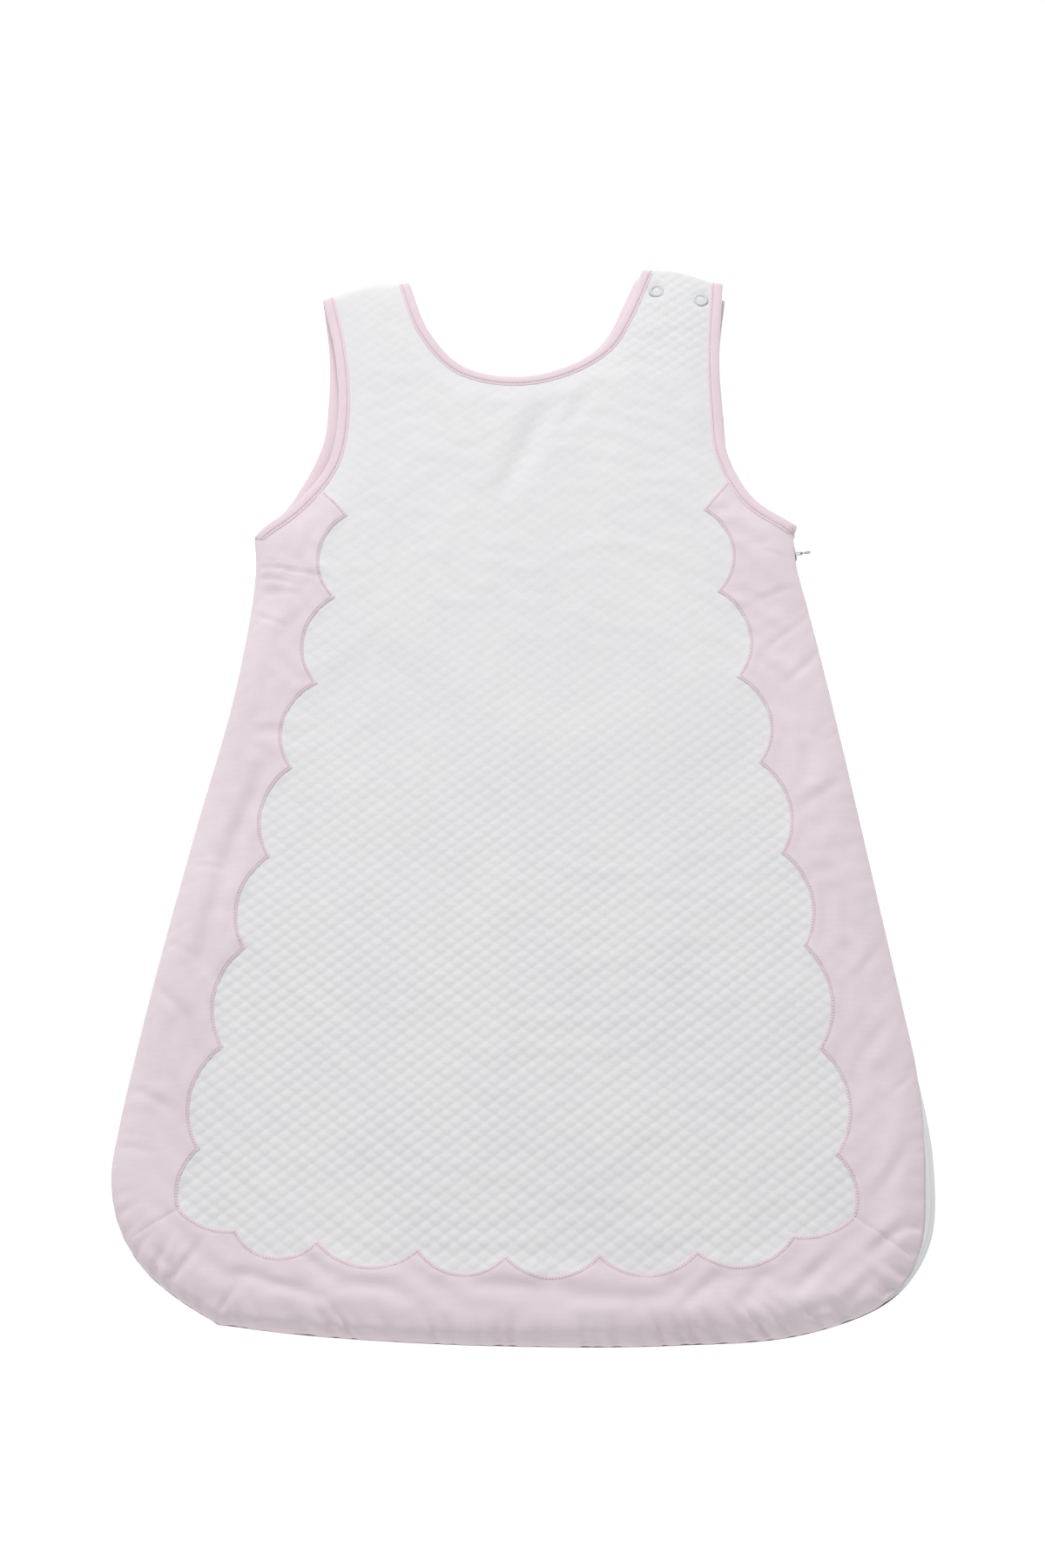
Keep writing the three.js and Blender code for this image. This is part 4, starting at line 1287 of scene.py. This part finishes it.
# The pull: a flat tab with an eye round the pin.
TAB_HALF = 0.35
tab = [(PIN_OUT + 0.6, 8.3), (5.0, 8.3), (5.6, 7.6), (8.2, 7.4), (8.8, 7.7), (9.2, 8.4), (9.2, 9.2),
       (8.8, 9.9), (8.2, 10.2), (5.6, 10.0), (5.0, 9.3), (PIN_OUT + 0.6, 9.3)]
eye = turned([(0.55, 8.1), (0.9, 8.1), (0.9, 9.5), (0.55, 9.5)], (PIN_OUT, 0), segments=24)
on_slider("zip_pull", [prism(tab, -TAB_HALF, TAB_HALF, axis="y"), eye], "pull")

# Hard parts keep their CAD shape with eased edges.
HARD_NODES = (
    (METAL, ("zip_top_stop_front", "zip_top_stop_back", "zip_bottom_stop")),
    (ENAMEL, [f"snap_{kind}_{number}" for kind in ("socket", "stud", "back_ring") for number in (1, 2)]),
)
for material, names in HARD_NODES:
    for name in names:
        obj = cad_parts[name]
        obj.data.materials.clear()
        obj.data.materials.append(material)
        ease(obj, 0.15)

# ---- Stage, light and camera ----

bpy.ops.mesh.primitive_plane_add(size=12, location=(0, 0, -0.0006))
floor = bpy.context.object
floor.name = "studio_floor"
paper, _, paper_inputs = new_material("paper")
feed(paper_inputs["Base Color"], (0.35, 0.35, 0.35, 1))
feed(paper_inputs["Roughness"], 0.95)
feed(paper_inputs["Specular IOR Level"], 0.0)
feed(paper_inputs["Emission Color"], (1, 1, 1, 1))
feed(paper_inputs["Emission Strength"], 0.8)
floor.data.materials.append(paper)
floor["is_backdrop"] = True


def area_light(name, location, aim, size, power):
    data = bpy.data.lights.new(name, "AREA")
    light = add(name, configure(data, shape="DISK", size=size, energy=power))
    turn = (Vector(aim) - Vector(location)).to_track_quat("-Z", "Y")
    configure(light, location=location, rotation_mode="QUATERNION", rotation_quaternion=turn)


area_light("key", (-0.3, 2.25, 1.8), (0, 0, 0), 1.0, 42)
area_light("fill", (-0.7, -0.2, 2.2), (0, -0.05, 0), 1.4, 8)

world = bpy.data.worlds.new("studio")
world.use_nodes = True
background = world.node_tree.nodes["Background"].inputs
feed(background["Color"], (1, 1, 1, 1))
feed(background["Strength"], 0.52)
bpy.context.scene.world = world

CAMERA_PLACE = (0, -0.5847, 1.173)
CAMERA_PITCH = 64.3
camera = add("camera", configure(bpy.data.cameras.new("camera"), lens=50, sensor_width=36))
configure(camera, location=CAMERA_PLACE, rotation_euler=(math.radians(90 - CAMERA_PITCH), 0, 0))
bpy.context.scene.camera = camera
bpy.context.scene.view_settings.view_transform = "Standard"

low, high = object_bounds()
